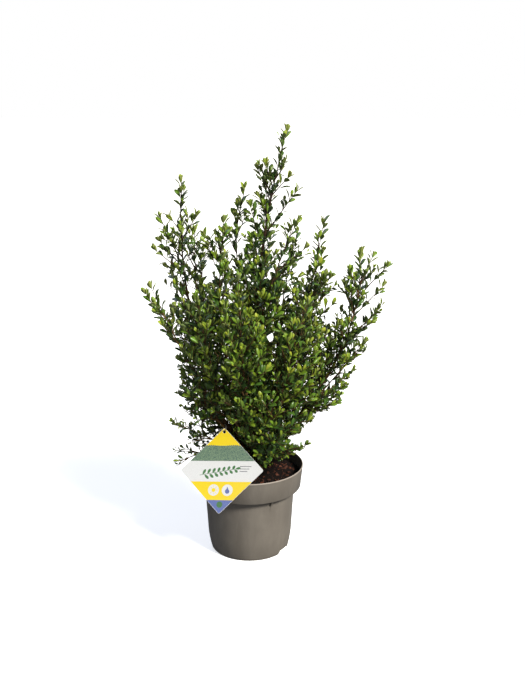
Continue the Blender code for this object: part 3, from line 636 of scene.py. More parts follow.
def bowed(root, middle, tip, steps):
    # A smooth line from root to tip, drawn towards middle
    shares = [i / steps for i in range(steps + 1)]
    return [root * (1 - s) ** 2 + middle * (2 * s * (1 - s)) + tip * s**2 for s in shares]


def sideShoot(root, along, outward, angle, length, lift, steps):
    start = along * math.cos(angle) + outward * math.sin(angle)
    lifted = (start + Vector((0, 0, lift))).normalized()
    middle = root + start * (0.5 * length)
    return bowed(root, middle, middle + lifted * (0.5 * length), steps)


def addSprays(crown, line, leafScale, vigour, lowShare=0.16, spacingScale=1.0, bareTip=0.020):
    # Short shoots along a twig, each where the source has one of its large leaves
    rule = crown.random
    total = lengthOf(line)
    full = growth["solidLeaf"] * leafScale * growth["sprayReach"]
    distance = total - bareTip
    turn = rule.uniform(0, math.tau)
    while distance > total * lowShare:
        tapered = full * (1 - growth["sprayTaper"] * (distance / total))
        length = tapered * rule.uniform(*growth["sprayLengths"])
        root, along = pointOn(line, distance)
        angle = growth["sprayAngle"] * rule.uniform(*growth["sprayAngles"])
        spray = sideShoot(root, along, sideways(along, turn), angle, length, growth["sprayLift"], 3)
        if all(inOpenAir(p, growth["sprayMargin"]) and not showsSky(p) for p in spray[1:]):
            crown.addShoot(spray, growth["sprayRadius"], growth["sprayTip"])
            strength = vigour * rule.uniform(*growth["sprayVigour"])
            crown.dress(spray, strength, growth["sprayLeafy"], growth["sprayTipSize"])
        turn += growth["goldenAngle"]
        distance -= growth["spraySpacing"] * spacingScale * rule.uniform(*growth["spraySteps"])


def growTwig(crown, line, leafScale, vigour, radius):
    line = trimmed(line)
    if len(line) < 4:
        return
    crown.addShoot(line, radius)
    crown.dress(line, vigour, growth["twigLeafy"])
    addSprays(crown, line, leafScale, vigour)


def growStem(crown, name, path, first):
    # The limb's own last stretch, carried on by the length of the solid leaf at its tip
    steps = max(6, round((path.length - first) / growth["lineStep"]))
    line = [path.at(first + (path.length - first) * i / steps) for i in range(steps + 1)]
    ahead = path.along(path.length)
    line.append(line[-1] + ahead * (growth["stemOn"] * growth["solidLeaf"] * limbs[name]["leaf"] + 0.002))
    radius = max(limbRadius(name, first / path.length), growth["stemRadius"])
    crown.addShoot(line, radius, growth["stemTip"], "stemBark")
    crown.dress(line, 1.2, 0.60, 1.0, False)
    return line


def ruleTwigs(crown, name, path, space, first):
    # The source's own twigs, with its seeds and its order of draws
    limb = limbs[name]
    rule = random.Random(limb["seed"])
    phase = rule.uniform(0, math.tau)
    stemLength = path.length - first
    count = max(3, round(stemLength / growth["twigSpacing"]))
    for k in range(count):
        share = growth["twigFirst"] + growth["twigRange"] * k / (count - 1)
        reach = limb["spread"] * (1 - growth["taper"] * share) * rule.uniform(*growth["twigLengths"])
        root, along = (find(first + share * stemLength) for find in (path.at, path.along))
        angle = growth["angleLow"] + (growth["angleHigh"] - growth["angleLow"]) * share
        for attempt in range(growth["tries"]):
            outward = sideways(along, phase + growth["goldenAngle"] * k + growth["tryTurn"] * attempt)
            length = reach * (1 - growth["tryShorter"] * attempt)
            twig = sideShoot(root, along, outward, angle, length, growth["lift"], 5)
            if space.own(name, twig[1:]) and space.offLimbs(twig[1:]) and all(inOpenAir(p) for p in twig[1:]):
                ahead = (twig[-1] - twig[-2]).normalized()
                twig.append(twig[-1] + ahead * (growth["twigOn"] * growth["solidLeaf"] * limb["leaf"]))
                if min((twig[-1] - tip).length for tip in tips) > growth["tipClearance"]:
                    growTwig(crown, twig, limb["leaf"], 1.0, growth["twigRadius"])
                break


def bestRoot(tip, paths):
    # The limb and the place on it from which a shoot reaches the tip by the shortest way at a natural angle
    best = None
    for name, path in paths.items():
        for share in np.linspace(*growth["shootPlaces"]):
            root = path.at(share * path.length)
            reach = tip - root
            if not growth["shootShortest"] <= reach.length <= growth["shootLongest"]:
                continue
            if reach.z < growth["shootDrop"]:
                continue
            off = path.along(share * path.length).angle(reach) - growth["shootAngle"]
            strain = growth["steepCost"] * max(0.0, off) ** 2 + growth["closeCost"] * max(0.0, -off)
            cost = reach.length * (1 + strain)
            if best and cost >= best[0] or any(showsSky(root + reach * part) for part in (0.25, 0.5, 0.75)):
                continue
            best = (cost, name, share, root)
    return best


def longShoots(crown, paths):
    # A shoot to each tip that shows in the photograph
    for tip in tips:
        best = bestRoot(tip, paths)
        if best is None:
            print("no limb reaches", tip)
            continue
        _, name, share, root = best
        reach = tip - root
        along = paths[name].along(share * paths[name].length)
        drawn = reach.normalized() * 0.9 + along * 0.3 - Vector((0, 0, growth["shootSag"]))
        steps = max(4, round(reach.length / growth["lineStep"]))
        line = bowed(root, root + drawn * (0.5 * reach.length), tip, steps)
        line = line[:-1] + [line[-1] - (line[-1] - line[-2]).normalized() * growth["tipLeaf"]]
        crown.addShoot(line, min(0.0019, 0.0009 + 0.008 * reach.length))
        crown.dress(line, 1.3, 0.80, 0.95, False)
        if reach.length > growth["sprayedLength"]:
            addSprays(crown, line, min(limbs[name]["leaf"], 0.75), 1.1, 0.22, 1.1, 0.030)


def boughShoots(crown, name, path, space):
    # Short leafy shoots that fill the inside of the crown, out of the boughs between the masses
    rule = crown.random
    distance = plant["armLength"] * growth["boughFirst"]
    turn = rule.uniform(0, math.tau)
    last = massStart(name, path)
    while distance < last:
        length = rule.uniform(*growth["boughLengths"])
        root, along = path.at(distance), path.along(distance)
        angle = growth["boughAngle"] * rule.uniform(*growth["boughAngles"])
        line = sideShoot(root, along, sideways(along, turn), angle, length, growth["lift"], 5)
        if all(inOpenAir(p, growth["placeMargin"]) for p in line[1:]) and space.offLimbs(line[2:]):
            vigour = rule.uniform(*growth["boughVigour"])
            growTwig(crown, line, growth["boughLeaf"], vigour, growth["boughTwigRadius"])
        turn += growth["goldenAngle"]
        distance += growth["boughSpacing"] * rule.uniform(*growth["boughSteps"])


def fillShoots(crown, name, path):
    # Shoots into the places within the limb's reach that are still empty
    rule = crown.random
    first = massStart(name, path)
    for _ in range(round(growth["fillPlaces"] * path.length)):
        distance = rule.uniform(*growth["fillAlong"]) * path.length
        share = max(0.0, (distance - first) / (path.length - first))
        reach = limbs[name]["spread"] * (1 - growth["taper"] * share) if share else growth["fillReach"]
        away = reach * math.sqrt(rule.uniform(*growth["fillOut"]))
        place = path.at(distance) + sideways(path.along(distance), rule.uniform(0, math.tau)) * away
        gap = growth["fillGap"] * float(np.interp(place.z, growth["fillHeights"], growth["fillShares"]))
        if not inOpenAir(place, growth["placeMargin"]) or showsSky(place) or crown.near(place, gap):
            continue
        low = max(distance - away / math.tan(growth["fillAngle"]), plant["armLength"] * growth["fillFirst"])
        root, along = path.at(low), path.along(low)
        span = (place - root).length
        drawn = (place - root).normalized() + along * growth["fillBow"]
        middle = root + drawn * (growth["fillMiddle"] * span)
        line = bowed(root, middle, place, max(4, round(span / growth["lineStep"])))
        clear = all(inOpenAir(p, growth["sprayMargin"]) for p in line[1:])
        if clear and not any(showsSky(p) for p in line[2:]):
            crown.addShoot(line, growth["fillRadius"])
            crown.dress(line, rule.uniform(*growth["fillVigour"]), growth["fillLeafy"])


def growCrown(paths):
    space = GrowthSpace(paths)
    crown = Crown()
    longShoots(crown, paths)
    for name, path in paths.items():
        first = massStart(name, path) + plant["jointGap"]
        line = growStem(crown, name, path, first)
        ruleTwigs(crown, name, path, space, first)
        addSprays(crown, line, limbs[name]["leaf"] * 0.80, 1.0, 0.05, 1.3, 0.055)
        boughShoots(crown, name, path, space)
    print("by the rule:", crown.tally())
    for name, path in paths.items():
        fillShoots(crown, name, path)
    return crown


tips = [Vector([c / 1000 for c in tip]) for tip in shootTips]
limbPaths = makeLimbPaths()
crown = growCrown(limbPaths)
print("grown:", crown.tally())


# Finishes

def leafUpperFinish(name, hexDeep, hexPlain, roughness, coat):
    # Living leaf with a waxed skin: a satin gloss that breaks up over slight puckers between the veins, one
    # leaf more yellow and the next more blue
    finish, tree, place = newFinish(name, {
        "IOR": 1.45, "Specular IOR Level": 0.45, "Coat Weight": coat, "Coat Roughness": 0.22,
        "Coat IOR": 1.4})
    drift = grain(tree, place, 26.0, 2.0)          # from one spray to the next
    mottle = grain(tree, place, 2.6, 3.0)          # within a leaf
    mixed = addNode(tree, "ShaderNodeMath", {"operation": "MULTIPLY_ADD"}, {0: mottle, 1: 0.45, 2: drift})
    spread = addNode(tree, "ShaderNodeMapRange", inputs={
        "Value": mixed.outputs[0], "From Min": 0.45, "From Max": 1.0})
    base = addNode(tree, "ShaderNodeValToRGB", inputs={"Fac": spread.outputs[0]}, stops=(
        (0.0, hexDeep), (1.0, hexPlain)))
    ownCast = addNode(tree, "ShaderNodeAttribute", {"attribute_name": "leafCast"})
    cast = addNode(tree, "ShaderNodeValToRGB", inputs={"Fac": ownCast.outputs["Fac"]}, stops=(
        (0.0, "#CDEBC8"), (0.5, "#EAF2C0"), (1.0, "#FFF3BC")))
    tinted = addNode(tree, "ShaderNodeMix", {"data_type": "RGBA", "blend_type": "MULTIPLY"}, {
        0: 1.0, 6: base.outputs[0], 7: cast.outputs[0]})
    gloss = addNode(tree, "ShaderNodeMapRange", inputs={
        "Value": mottle, "To Min": roughness - 0.06, "To Max": roughness + 0.10})
    puckers = addNode(tree, "ShaderNodeBump", inputs={
        "Height": grain(tree, place, 1.3, 2.0), "Distance": 0.00012, "Strength": 0.6})
    return wired(finish, {
        "Base Color": tinted.outputs[2], "Roughness": gloss.outputs[0], "Normal": puckers.outputs[0]})


def leafUnderFinish(name, hexDeep, hexPlain):
    # Underside of the leaf: paler and dull, with the net of veins a little darker
    finish, tree, place = newFinish(name, {"IOR": 1.42, "Roughness": 0.62, "Specular IOR Level": 0.35})
    veins = grain(tree, place, 1.8, 4.0, distortion=0.4)
    base = addNode(tree, "ShaderNodeValToRGB", inputs={"Fac": veins}, stops=((0.3, hexDeep), (0.7, hexPlain)))
    relief = addNode(tree, "ShaderNodeBump", inputs={"Height": veins, "Distance": 0.00008, "Strength": 0.5})
    return wired(finish, {"Base Color": base.outputs[0], "Normal": relief.outputs[0]})


def barkFinish(name, hexDeep, hexPlain, hexPale, roughness, sizeMm):
    # Smooth shrub bark: fine lengthwise cracks, paler raised pores, dull, and darker up in the crown: partly
    # older wood, partly painted shade of the foliage over it
    finish, tree, place = newFinish(name, {"IOR": 1.5, "Specular IOR Level": 0.35})
    cracks = grain(tree, place, sizeMm, 5.0, (1, 1, 0.25), 0.5)
    relief = addNode(tree, "ShaderNodeMath", {"operation": "MULTIPLY_ADD"}, {
        0: cracks, 1: 0.7, 2: grain(tree, place, 14.0, 3.0)})
    spread = addNode(tree, "ShaderNodeMapRange", inputs={
        "Value": relief.outputs[0], "From Min": 0.55, "From Max": 1.15})
    base = addNode(tree, "ShaderNodeValToRGB", inputs={"Fac": spread.outputs[0]}, stops=(
        (0.0, hexDeep), (0.6, hexPlain), (1.0, hexPale)))
    pores = addNode(tree, "ShaderNodeTexVoronoi", inputs={"Vector": place, "Scale": 1000.0 / 2.4})
    poreSpot = addNode(tree, "ShaderNodeMapRange", inputs={
        "Value": pores.outputs["Distance"], "From Min": 0.16, "From Max": 0.24, "To Min": 1.0, "To Max": 0.0})
    spotted = addNode(tree, "ShaderNodeMix", {"data_type": "RGBA"}, {
        0: poreSpot.outputs[0], 6: base.outputs[0], 7: linearColour(hexPale)})
    height = addNode(tree, "ShaderNodeSeparateXYZ", inputs={"Vector": place})
    # painted shade, partly older wood: above 0.48 m the bark is multiplied towards #8A7678
    paintedShadeHigh = addNode(tree, "ShaderNodeMapRange", inputs={
        "Value": height.outputs["Z"], "From Min": 0.48, "From Max": 0.66})
    shaded = addNode(tree, "ShaderNodeMix", {"data_type": "RGBA", "blend_type": "MULTIPLY"}, {
        0: paintedShadeHigh.outputs[0], 6: spotted.outputs[2], 7: linearColour("#8A7678")})
    dullness = addNode(tree, "ShaderNodeMapRange", inputs={
        "Value": cracks, "To Min": roughness - 0.08, "To Max": roughness + 0.12})
    bump = addNode(tree, "ShaderNodeBump", inputs={
        "Height": relief.outputs[0], "Distance": 0.00035, "Strength": 0.8})
    return wired(finish, {
        "Base Color": shaded.outputs[2], "Roughness": dullness.outputs[0], "Normal": bump.outputs[0]})


def potFinish():
    # Injection-moulded recycled polypropylene, taupe: an even satin skin, clouded a little where the melt
    # met, with dull scuffs, and painted paler along the lip as a highlight
    finish, tree, place = newFinish("moulded_taupe_polypropylene", {"IOR": 1.49, "Specular IOR Level": 0.5})
    cloud = grain(tree, place, 38.0, 4.0, (1, 1, 0.35), 0.3)
    mixed = addNode(tree, "ShaderNodeMath", {"operation": "MULTIPLY_ADD"}, {
        0: grain(tree, place, 1.1, 2.0), 1: 0.22, 2: cloud})
    spread = addNode(tree, "ShaderNodeMapRange", inputs={
        "Value": mixed.outputs[0], "From Min": 0.40, "From Max": 0.85})
    base = addNode(tree, "ShaderNodeValToRGB", inputs={"Fac": spread.outputs[0]}, stops=(
        (0.0, "#69645C"), (0.5, "#726D65"), (1.0, "#7D786F")))
    scuffs = addNode(tree, "ShaderNodeMapRange", inputs={
        "Value": grain(tree, place, 9.0, 6.0, (1, 1, 0.2), 1.2), "From Min": 0.62, "From Max": 0.78,
        "To Max": 0.35})
    worn = addNode(tree, "ShaderNodeMix", {"data_type": "RGBA"}, {
        0: scuffs.outputs[0], 6: base.outputs[0], 7: linearColour("#918B80")})
    height = addNode(tree, "ShaderNodeSeparateXYZ", inputs={"Vector": place})
    # painted highlight: the top of the lip is lightened towards #B4AAA0
    lipHighlightMask = addNode(tree, "ShaderNodeMapRange", inputs={
        "Value": height.outputs["Z"], "From Min": pot["height"] - 0.0026, "From Max": pot["height"] - 0.0004,
        "To Max": 0.8})
    lipHighlighted = addNode(tree, "ShaderNodeMix", {"data_type": "RGBA"}, {
        0: lipHighlightMask.outputs[0], 6: worn.outputs[2], 7: linearColour("#B4AAA0")})
    dullness = addNode(tree, "ShaderNodeMath", {"operation": "MULTIPLY_ADD"}, {
        0: scuffs.outputs[0], 1: 0.4, 2: 0.44})
    skin = addNode(tree, "ShaderNodeBump", inputs={
        "Height": grain(tree, place, 0.9, 2.0), "Distance": 0.00005, "Strength": 0.5})
    return wired(finish, {
        "Base Color": lipHighlighted.outputs[2], "Roughness": dullness.outputs[0], "Normal": skin.outputs[0]})


def crumbledFinish(name, sockets, texture, stops, rough, depthMm):
    # Broken dull matter: one noise gives its colours, its roughness and its relief
    finish, tree, place = newFinish(name, sockets)
    crumbs = grain(tree, place, *texture)
    base = addNode(tree, "ShaderNodeValToRGB", inputs={"Fac": crumbs}, stops=stops)
    dullness = addNode(tree, "ShaderNodeMapRange", inputs={
        "Value": crumbs, "To Min": rough[0], "To Max": rough[1]})
    relief = addNode(tree, "ShaderNodeBump", inputs={
        "Height": crumbs, "Distance": depthMm / 1000.0, "Strength": 1.0})
    return wired(finish, {
        "Base Color": base.outputs[0], "Roughness": dullness.outputs[0], "Normal": relief.outputs[0]})


def printedCard(name, hexDeep, hexPlain, sizeMm=0.8, roughness=0.34):
    # Offset ink on coated polypropylene card: flat colour with a faint screen, and a soft gloss
    finish, tree, place = newFinish(name, {
        "IOR": 1.5, "Specular IOR Level": 0.3, "Coat Weight": 0.15, "Coat Roughness": 0.18})
    base = addNode(tree, "ShaderNodeValToRGB", inputs={"Fac": grain(tree, place, sizeMm, 3.0)}, stops=(
        (0.35, hexDeep), (0.65, hexPlain)))
    gloss = addNode(tree, "ShaderNodeMapRange", inputs={
        "Value": grain(tree, place, 6.0, 3.0), "To Min": roughness - 0.04, "To Max": roughness + 0.08})
    skin = addNode(tree, "ShaderNodeBump", inputs={
        "Height": grain(tree, place, 0.5, 1.0), "Distance": 0.00001, "Strength": 0.4})
    return wired(finish, {
        "Base Color": base.outputs[0], "Roughness": gloss.outputs[0], "Normal": skin.outputs[0]})


finishes = {
    "pot": potFinish(),
    # near black crumbs with brown fibres: dark peat, made darker still as painted shade of the crown over it
    "compost": crumbledFinish("moist_peat_compost", {"IOR": 1.4, "Specular IOR Level": 0.3},
                              (2.2, 6.0, (1, 1, 1), 0.6),
                              ((0.32, "#080504"), (0.56, "#130B08"), (0.74, "#26180D"), (0.88, "#46301F")),
                              (0.95, 0.75), 1.6),
    # red-brown faces with darker layers
    "chips": crumbledFinish("broken_pine_bark", {"IOR": 1.45, "Specular IOR Level": 0.35},
                            (3.4, 5.0, (1, 1, 2.2), 0.8),
                            ((0.30, "#120A07"), (0.48, "#3A1E14"), (0.64, "#6E402C"), (0.82, "#A27A62")),
                            (0.9, 0.6), 0.6),
    "bark": barkFinish("old_holly_bark", "#33241A", "#60462A", "#987440", 0.72, 1.6),
    "twig": barkFinish("young_holly_bark", "#2A2014", "#5A4426", "#967648", 0.58, 1.0),
    "card": printedCard("coated_white_card", "#E2E0DA", "#F1F0EB"),
    "yellow": printedCard("yellow_print", "#F4D000", "#FFE000"),
    "hedge": printedCard("hedge_green_print", "#3E5C54", "#88A07A", 1.6),
    "leafInk": printedCard("leaf_green_print", "#3C6E3A", "#4A8044"),
    "violet": printedCard("violet_blue_print", "#54639E", "#6A7AB4", 1.2),
    "greyInk": printedCard("dark_grey_print", "#4A4A50", "#56565C"),
    "ring": printedCard("clear_nylon_loop", "#C9C6BA", "#DAD7CC"),
}
leafTones = {
    # age is the distance back from the shoot's tip in metres, stretched low in the crown as painted shade;
    # upper and under each run from deep to plain
    "limeLeaves": dict(
        age=0.0046, upper=("#869C3A", "#B0C05A"), under=("#88984A", "#A2AC5E"), rough=0.36, coat=0.14),
    "freshLeaves": dict(
        age=0.020, upper=("#64802A", "#8AA23E"), under=("#748648", "#8C9A58"), rough=0.34, coat=0.20),
    "matureLeaves": dict(
        age=0.050, upper=("#425A26", "#66843C"), under=("#607440", "#768854"), rough=0.30, coat=0.32),
    "oldLeaves": dict(
        age=9.000, upper=("#2A4224", "#4A6236"), under=("#4C6240", "#607450"), rough=0.28, coat=0.40),
}
print("finishes made")


# Geometry trees

def onPoints(tree, points, collection, seed, turn, scale):
    # On each point one of the collection's pieces, picked by chance
    pieces = addNode(tree, "GeometryNodeCollectionInfo", inputs={
        "Collection": collection, "Separate Children": True, "Reset Children": True})
    pick = addNode(tree, "FunctionNodeRandomValue", {"data_type": "INT"}, {4: 0, 5: 3, "Seed": seed})
    return addNode(tree, "GeometryNodeInstanceOnPoints", inputs={
        "Points": points, "Instance": pieces.outputs[0], "Pick Instance": True,
        "Instance Index": pick.outputs[2], "Rotation": turn, "Scale": scale}).outputs[0]


def realWith(tree, geometry, finish):
    real = addNode(tree, "GeometryNodeRealizeInstances", inputs={"Geometry": geometry})
    return addNode(tree, "GeometryNodeSetMaterial", inputs={
        "Geometry": real.outputs[0], "Material": finish}).outputs[0]


def sweptBarkTree():
    # Lines of points with a "thick" attribute become tubes whose skin is roughened along the grain
    tree, given, result = newTree("sweptBark", {
        "Step": ("Float", 0.006), "Sides": ("Int", 6), "Relief": ("Float", 0.0001),
        "Grain": ("Float", 0.003), "Draw Out": ("Float", 0.3), "Finish": ("Material", None)})
    line = addNode(tree, "GeometryNodeMeshToCurve", inputs={"Mesh": given["Geometry"]})
    even = addNode(tree, "GeometryNodeResampleCurve", {"mode": "LENGTH"}, {
        "Curve": line.outputs[0], "Length": given["Step"]})
    profile = addNode(tree, "GeometryNodeCurvePrimitiveCircle", inputs={
        "Resolution": given["Sides"], "Radius": 1.0})
    thick = addNode(tree, "GeometryNodeInputNamedAttribute", {"data_type": "FLOAT"}, {"Name": "thick"})
    tube = addNode(tree, "GeometryNodeCurveToMesh", inputs={
        "Curve": even.outputs[0], "Profile Curve": profile.outputs[0], "Scale": thick.outputs[0],
        "Fill Caps": True})
    position = addNode(tree, "GeometryNodeInputPosition")
    stretch = addNode(tree, "ShaderNodeCombineXYZ", inputs={"X": 1.0, "Y": 1.0, "Z": given["Draw Out"]})
    drawn = addNode(tree, "ShaderNodeVectorMath", {"operation": "MULTIPLY"}, {
        0: position.outputs[0], 1: stretch.outputs[0]})
    fineness = addNode(tree, "ShaderNodeMath", {"operation": "DIVIDE"}, {0: 1.0, 1: given["Grain"]})
    rough = addNode(tree, "ShaderNodeTexNoise", inputs={
        "Vector": drawn.outputs[0], "Scale": fineness.outputs[0], "Detail": 3.0})
    centred = addNode(tree, "ShaderNodeMath", {"operation": "SUBTRACT"}, {0: rough.outputs[0], 1: 0.5})
    raised = addNode(tree, "ShaderNodeMath", {"operation": "MULTIPLY"}, {
        0: centred.outputs[0], 1: given["Relief"]})
    normal = addNode(tree, "GeometryNodeInputNormal")
    offset = addNode(tree, "ShaderNodeVectorMath", {"operation": "SCALE"}, {
        0: normal.outputs[0], "Scale": raised.outputs[0]})
    moved = addNode(tree, "GeometryNodeSetPosition", inputs={
        "Geometry": tube.outputs[0], "Offset": offset.outputs[0]})
    smooth = addNode(tree, "GeometryNodeSetShadeSmooth", inputs={"Geometry": moved.outputs[0]})
    tree.links.new(realWith(tree, smooth.outputs[0], given["Finish"]), result)
    return tree


def leafSprayTree():
    # A leaf on every point, turned by its "leafAxis" and "leafNormal", sized by its "leafSize"
    tree, given, result = newTree("leafSpray", {
        "Blades": ("Collection", None), "Length": ("Float", 0.018), "Width": ("Float", 0.008),
        "Seed": ("Int", 1), "Upper": ("Material", None), "Under": ("Material", None)})
    fields = (("leafAxis", "FLOAT_VECTOR"), ("leafNormal", "FLOAT_VECTOR"), ("leafSize", "FLOAT"),
              ("underside", "BOOLEAN"))
    axis, normal, size, underside = (
        addNode(tree, "GeometryNodeInputNamedAttribute", {"data_type": kind}, {"Name": name}).outputs[0]
        for name, kind in fields)
    turned = addNode(tree, "FunctionNodeAxesToRotation", {"primary_axis": "Y", "secondary_axis": "Z"}, {
        "Primary Axis": axis, "Secondary Axis": normal})
    broad = addNode(tree, "FunctionNodeRandomValue", {"data_type": "FLOAT"}, {
        2: 0.88, 3: 1.12, "Seed": given["Seed"]})
    width = addNode(tree, "ShaderNodeMath", {"operation": "MULTIPLY"}, {0: given["Width"], 1: broad.outputs[1]})
    shape = addNode(tree, "ShaderNodeCombineXYZ", inputs={
        "X": width.outputs[0], "Y": given["Length"], "Z": given["Length"]})
    scale = addNode(tree, "ShaderNodeVectorMath", {"operation": "SCALE"}, {0: shape.outputs[0], "Scale": size})
    placed = onPoints(tree, given["Geometry"], given["Blades"], given["Seed"], turned.outputs[0],
                      scale.outputs[0])
    under = addNode(tree, "GeometryNodeSetMaterial", inputs={
        "Geometry": realWith(tree, placed, given["Upper"]), "Selection": underside,
        "Material": given["Under"]})
    tree.links.new(under.outputs[0], result)
    return tree


def scatterTree():
    # Pieces scattered over the faces that look up, each turned and sized by chance
    tree, given, result = newTree("scatter", {
        "Pieces": ("Collection", None), "Density": ("Float", 9000.0), "Seed": ("Int", 1),
        "Smallest": ("Float", 0.5), "Largest": ("Float", 1.2), "Rise": ("Float", 0.001),
        "Finish": ("Material", None)})
    seed = given["Seed"]
    points = addNode(tree, "GeometryNodeDistributePointsOnFaces", inputs={
        "Mesh": given["Geometry"], "Density": given["Density"], "Seed": seed})
    turn = addNode(tree, "FunctionNodeRandomValue", {"data_type": "FLOAT_VECTOR"}, {
        0: (-0.6, -0.6, 0.0), 1: (0.6, 0.6, math.tau), "Seed": seed})
    size = addNode(tree, "FunctionNodeRandomValue", {"data_type": "FLOAT"}, {
        2: given["Smallest"], 3: given["Largest"], "Seed": seed})
    placed = onPoints(tree, points.outputs[0], given["Pieces"], seed, turn.outputs[0], size.outputs[1])
    rise = addNode(tree, "ShaderNodeCombineXYZ", inputs={"Z": given["Rise"]})
    lifted = addNode(tree, "GeometryNodeTranslateInstances", inputs={
        "Instances": placed, "Translation": rise.outputs[0], "Local Space": False})
    tree.links.new(realWith(tree, lifted.outputs[0], given["Finish"]), result)
    return tree


sweptBark = sweptBarkTree()
leafSpray = leafSprayTree()
scatter = scatterTree()


# Trunk and boughs: swept bark

trunkShape = {
    # height over the foot and radius there
    "flare": ((0.0003, 0.0205), (0.004, 0.0168), (0.010, 0.0140), (0.018, 0.0128), (0.030, 0.0115),
              (0.042, 0.0080)),
    "voxel": 0.0009, "relief": 0.0007, "grainMm": 4.0, "drawOut": 0.25, "armOverlap": 0.002,
    "clearance": 0.0003,
}
barkSettings = {
    "core": {"Step": 0.0020, "Sides": 20, "Relief": 0.0, "Grain": 0.0030, "Draw Out": 0.30},
    "bough": {"Step": 0.0035, "Sides": 12, "Relief": 0.0007, "Grain": 0.0030, "Draw Out": 0.22},
    "stem": {"Step": 0.006, "Sides": 8, "Relief": 0.00025, "Grain": 0.0025, "Draw Out": 0.30},
    "twig": {"Step": 0.006, "Sides": 5, "Relief": 0.00025, "Grain": 0.0025, "Draw Out": 0.30},
}
boughOverlap = 0.004


def sweptPiece(name, lines, settings, finish):
    # Lines of (point, radius) swept into tubes of bark
    points, edges = [], []
    for line in lines:
        edges += [(len(points) + i, len(points) + i + 1) for i in range(len(line) - 1)]
        points += [p for p, _ in line]
    mesh = meshFrom(name, points, [], edges)
    setAttribute(mesh, "thick", "FLOAT", "POINT", [radius for line in lines for _, radius in line])
    return useTree(objectFrom(name, mesh), sweptBark, {**barkSettings[settings], "Finish": finishes[finish]})


def limbLine(name, path, first, last):
    steps = max(4, round((last - first) / 0.006))
    distances = [first + (last - first) * i / steps for i in range(steps + 1)]
    return [(path.at(d), limbRadius(name, d / path.length)) for d in distances]


def makeTrunk(paths):
    foot = plant["foot"]
    lines = [[(foot + Vector((0, 0, rise)), radius) for rise, radius in trunkShape["flare"]]]
    for name, path in paths.items():
        if "parent" not in limbs[name]:
            lines.append(limbLine(name, path, 0.0, plant["armLength"] + trunkShape["armOverlap"]))
    trunk = sweptPiece("trunkBark", lines, "core", "bark")
    joined = trunk.modifiers.new("join", "REMESH")
    joined.mode = "VOXEL"
    joined.voxel_size = trunkShape["voxel"]
    eased = trunk.modifiers.new("ease", "SMOOTH")
    eased.factor = 0.5
    eased.iterations = 3
    bake(trunk)
    mesh = trunk.data
    scale = 1000.0 / trunkShape["grainMm"]
    outward = [vertex.normal.copy() for vertex in mesh.vertices]
    for vertex, normal in zip(mesh.vertices, outward):
        spot = Vector((vertex.co.x, vertex.co.y, vertex.co.z * trunkShape["drawOut"])) * scale
        vertex.co += normal * (trunkShape["relief"] * noise.fractal(spot, 0.8, 2.0, 3))
        vertex.co.z = max(vertex.co.z, foot.z + trunkShape["clearance"])
    mesh.shade_smooth()
    mesh.materials.clear()
    mesh.materials.append(finishes["bark"])
    return trunk


def makeBoughs(paths):
    lines = []
    for name, path in paths.items():
        if limbs[name]["bough"]:
            first = 0.0 if "parent" in limbs[name] else plant["armLength"] - boughOverlap
            lines.append(limbLine(name, path, first, massStart(name, path) + boughOverlap))
    return sweptPiece("boughBark", lines, "bough", "bark")


# Leaves: small, egg-shaped with the broad end out, with a short stalk, a folded midrib and a curled tip

bladeShape = {
    # share of the length, and half width there as a share of the widest
    "rows": ((0.12, 0.08), (0.30, 0.56), (0.55, 0.96), (0.76, 0.96), (0.93, 0.50)),
    "thickness": 0.020,
    # fold along the midrib, droop of the tip and sideways lean of the three blades
    "kinds": ((0.16, 0.10, 0.00), (0.28, 0.02, 0.05), (0.08, 0.20, -0.05)),
}


def makeBlades():
    group = bpy.data.collections.new("blades")
    for i, (fold, droop, lean) in enumerate(bladeShape["kinds"]):
        half = bladeShape["thickness"] / 2
        points = [(0.0, 0.0, 0.0)]
        for along, wide in bladeShape["rows"]:
            drop = -droop * along**2
            shift = lean * along**2
            points += [(shift - wide / 2, along, drop + fold * wide / 2), (shift, along, drop + half),
                       (shift + wide / 2, along, drop + fold * wide / 2), (shift, along, drop - half)]
        points.append((lean, 1.0, -droop))
        tip = len(points) - 1
        faces = [(0, 2, 1), (0, 3, 2)]
        under = [(0, 1, 4), (0, 4, 3)]
        for row in range(len(bladeShape["rows"]) - 1):
            a, b = 1 + 4 * row, 5 + 4 * row
            faces += [(a, a + 1, b + 1, b), (a + 1, a + 2, b + 2, b + 1)]
            under += [(a, b, b + 3, a + 3), (a + 3, b + 3, b + 2, a + 2)]
        faces += [(tip - 4, tip - 3, tip), (tip - 3, tip - 2, tip)]
        under += [(tip - 4, tip, tip - 1), (tip - 1, tip, tip - 2)]
        mesh = meshFrom(f"blade{i}", points, faces + under)
        setAttribute(mesh, "underside", "BOOLEAN", "FACE", [False] * len(faces) + [True] * len(under))
        mesh.shade_smooth()
        group.objects.link(bpy.data.objects.new(f"blade{i}", mesh))
    return group


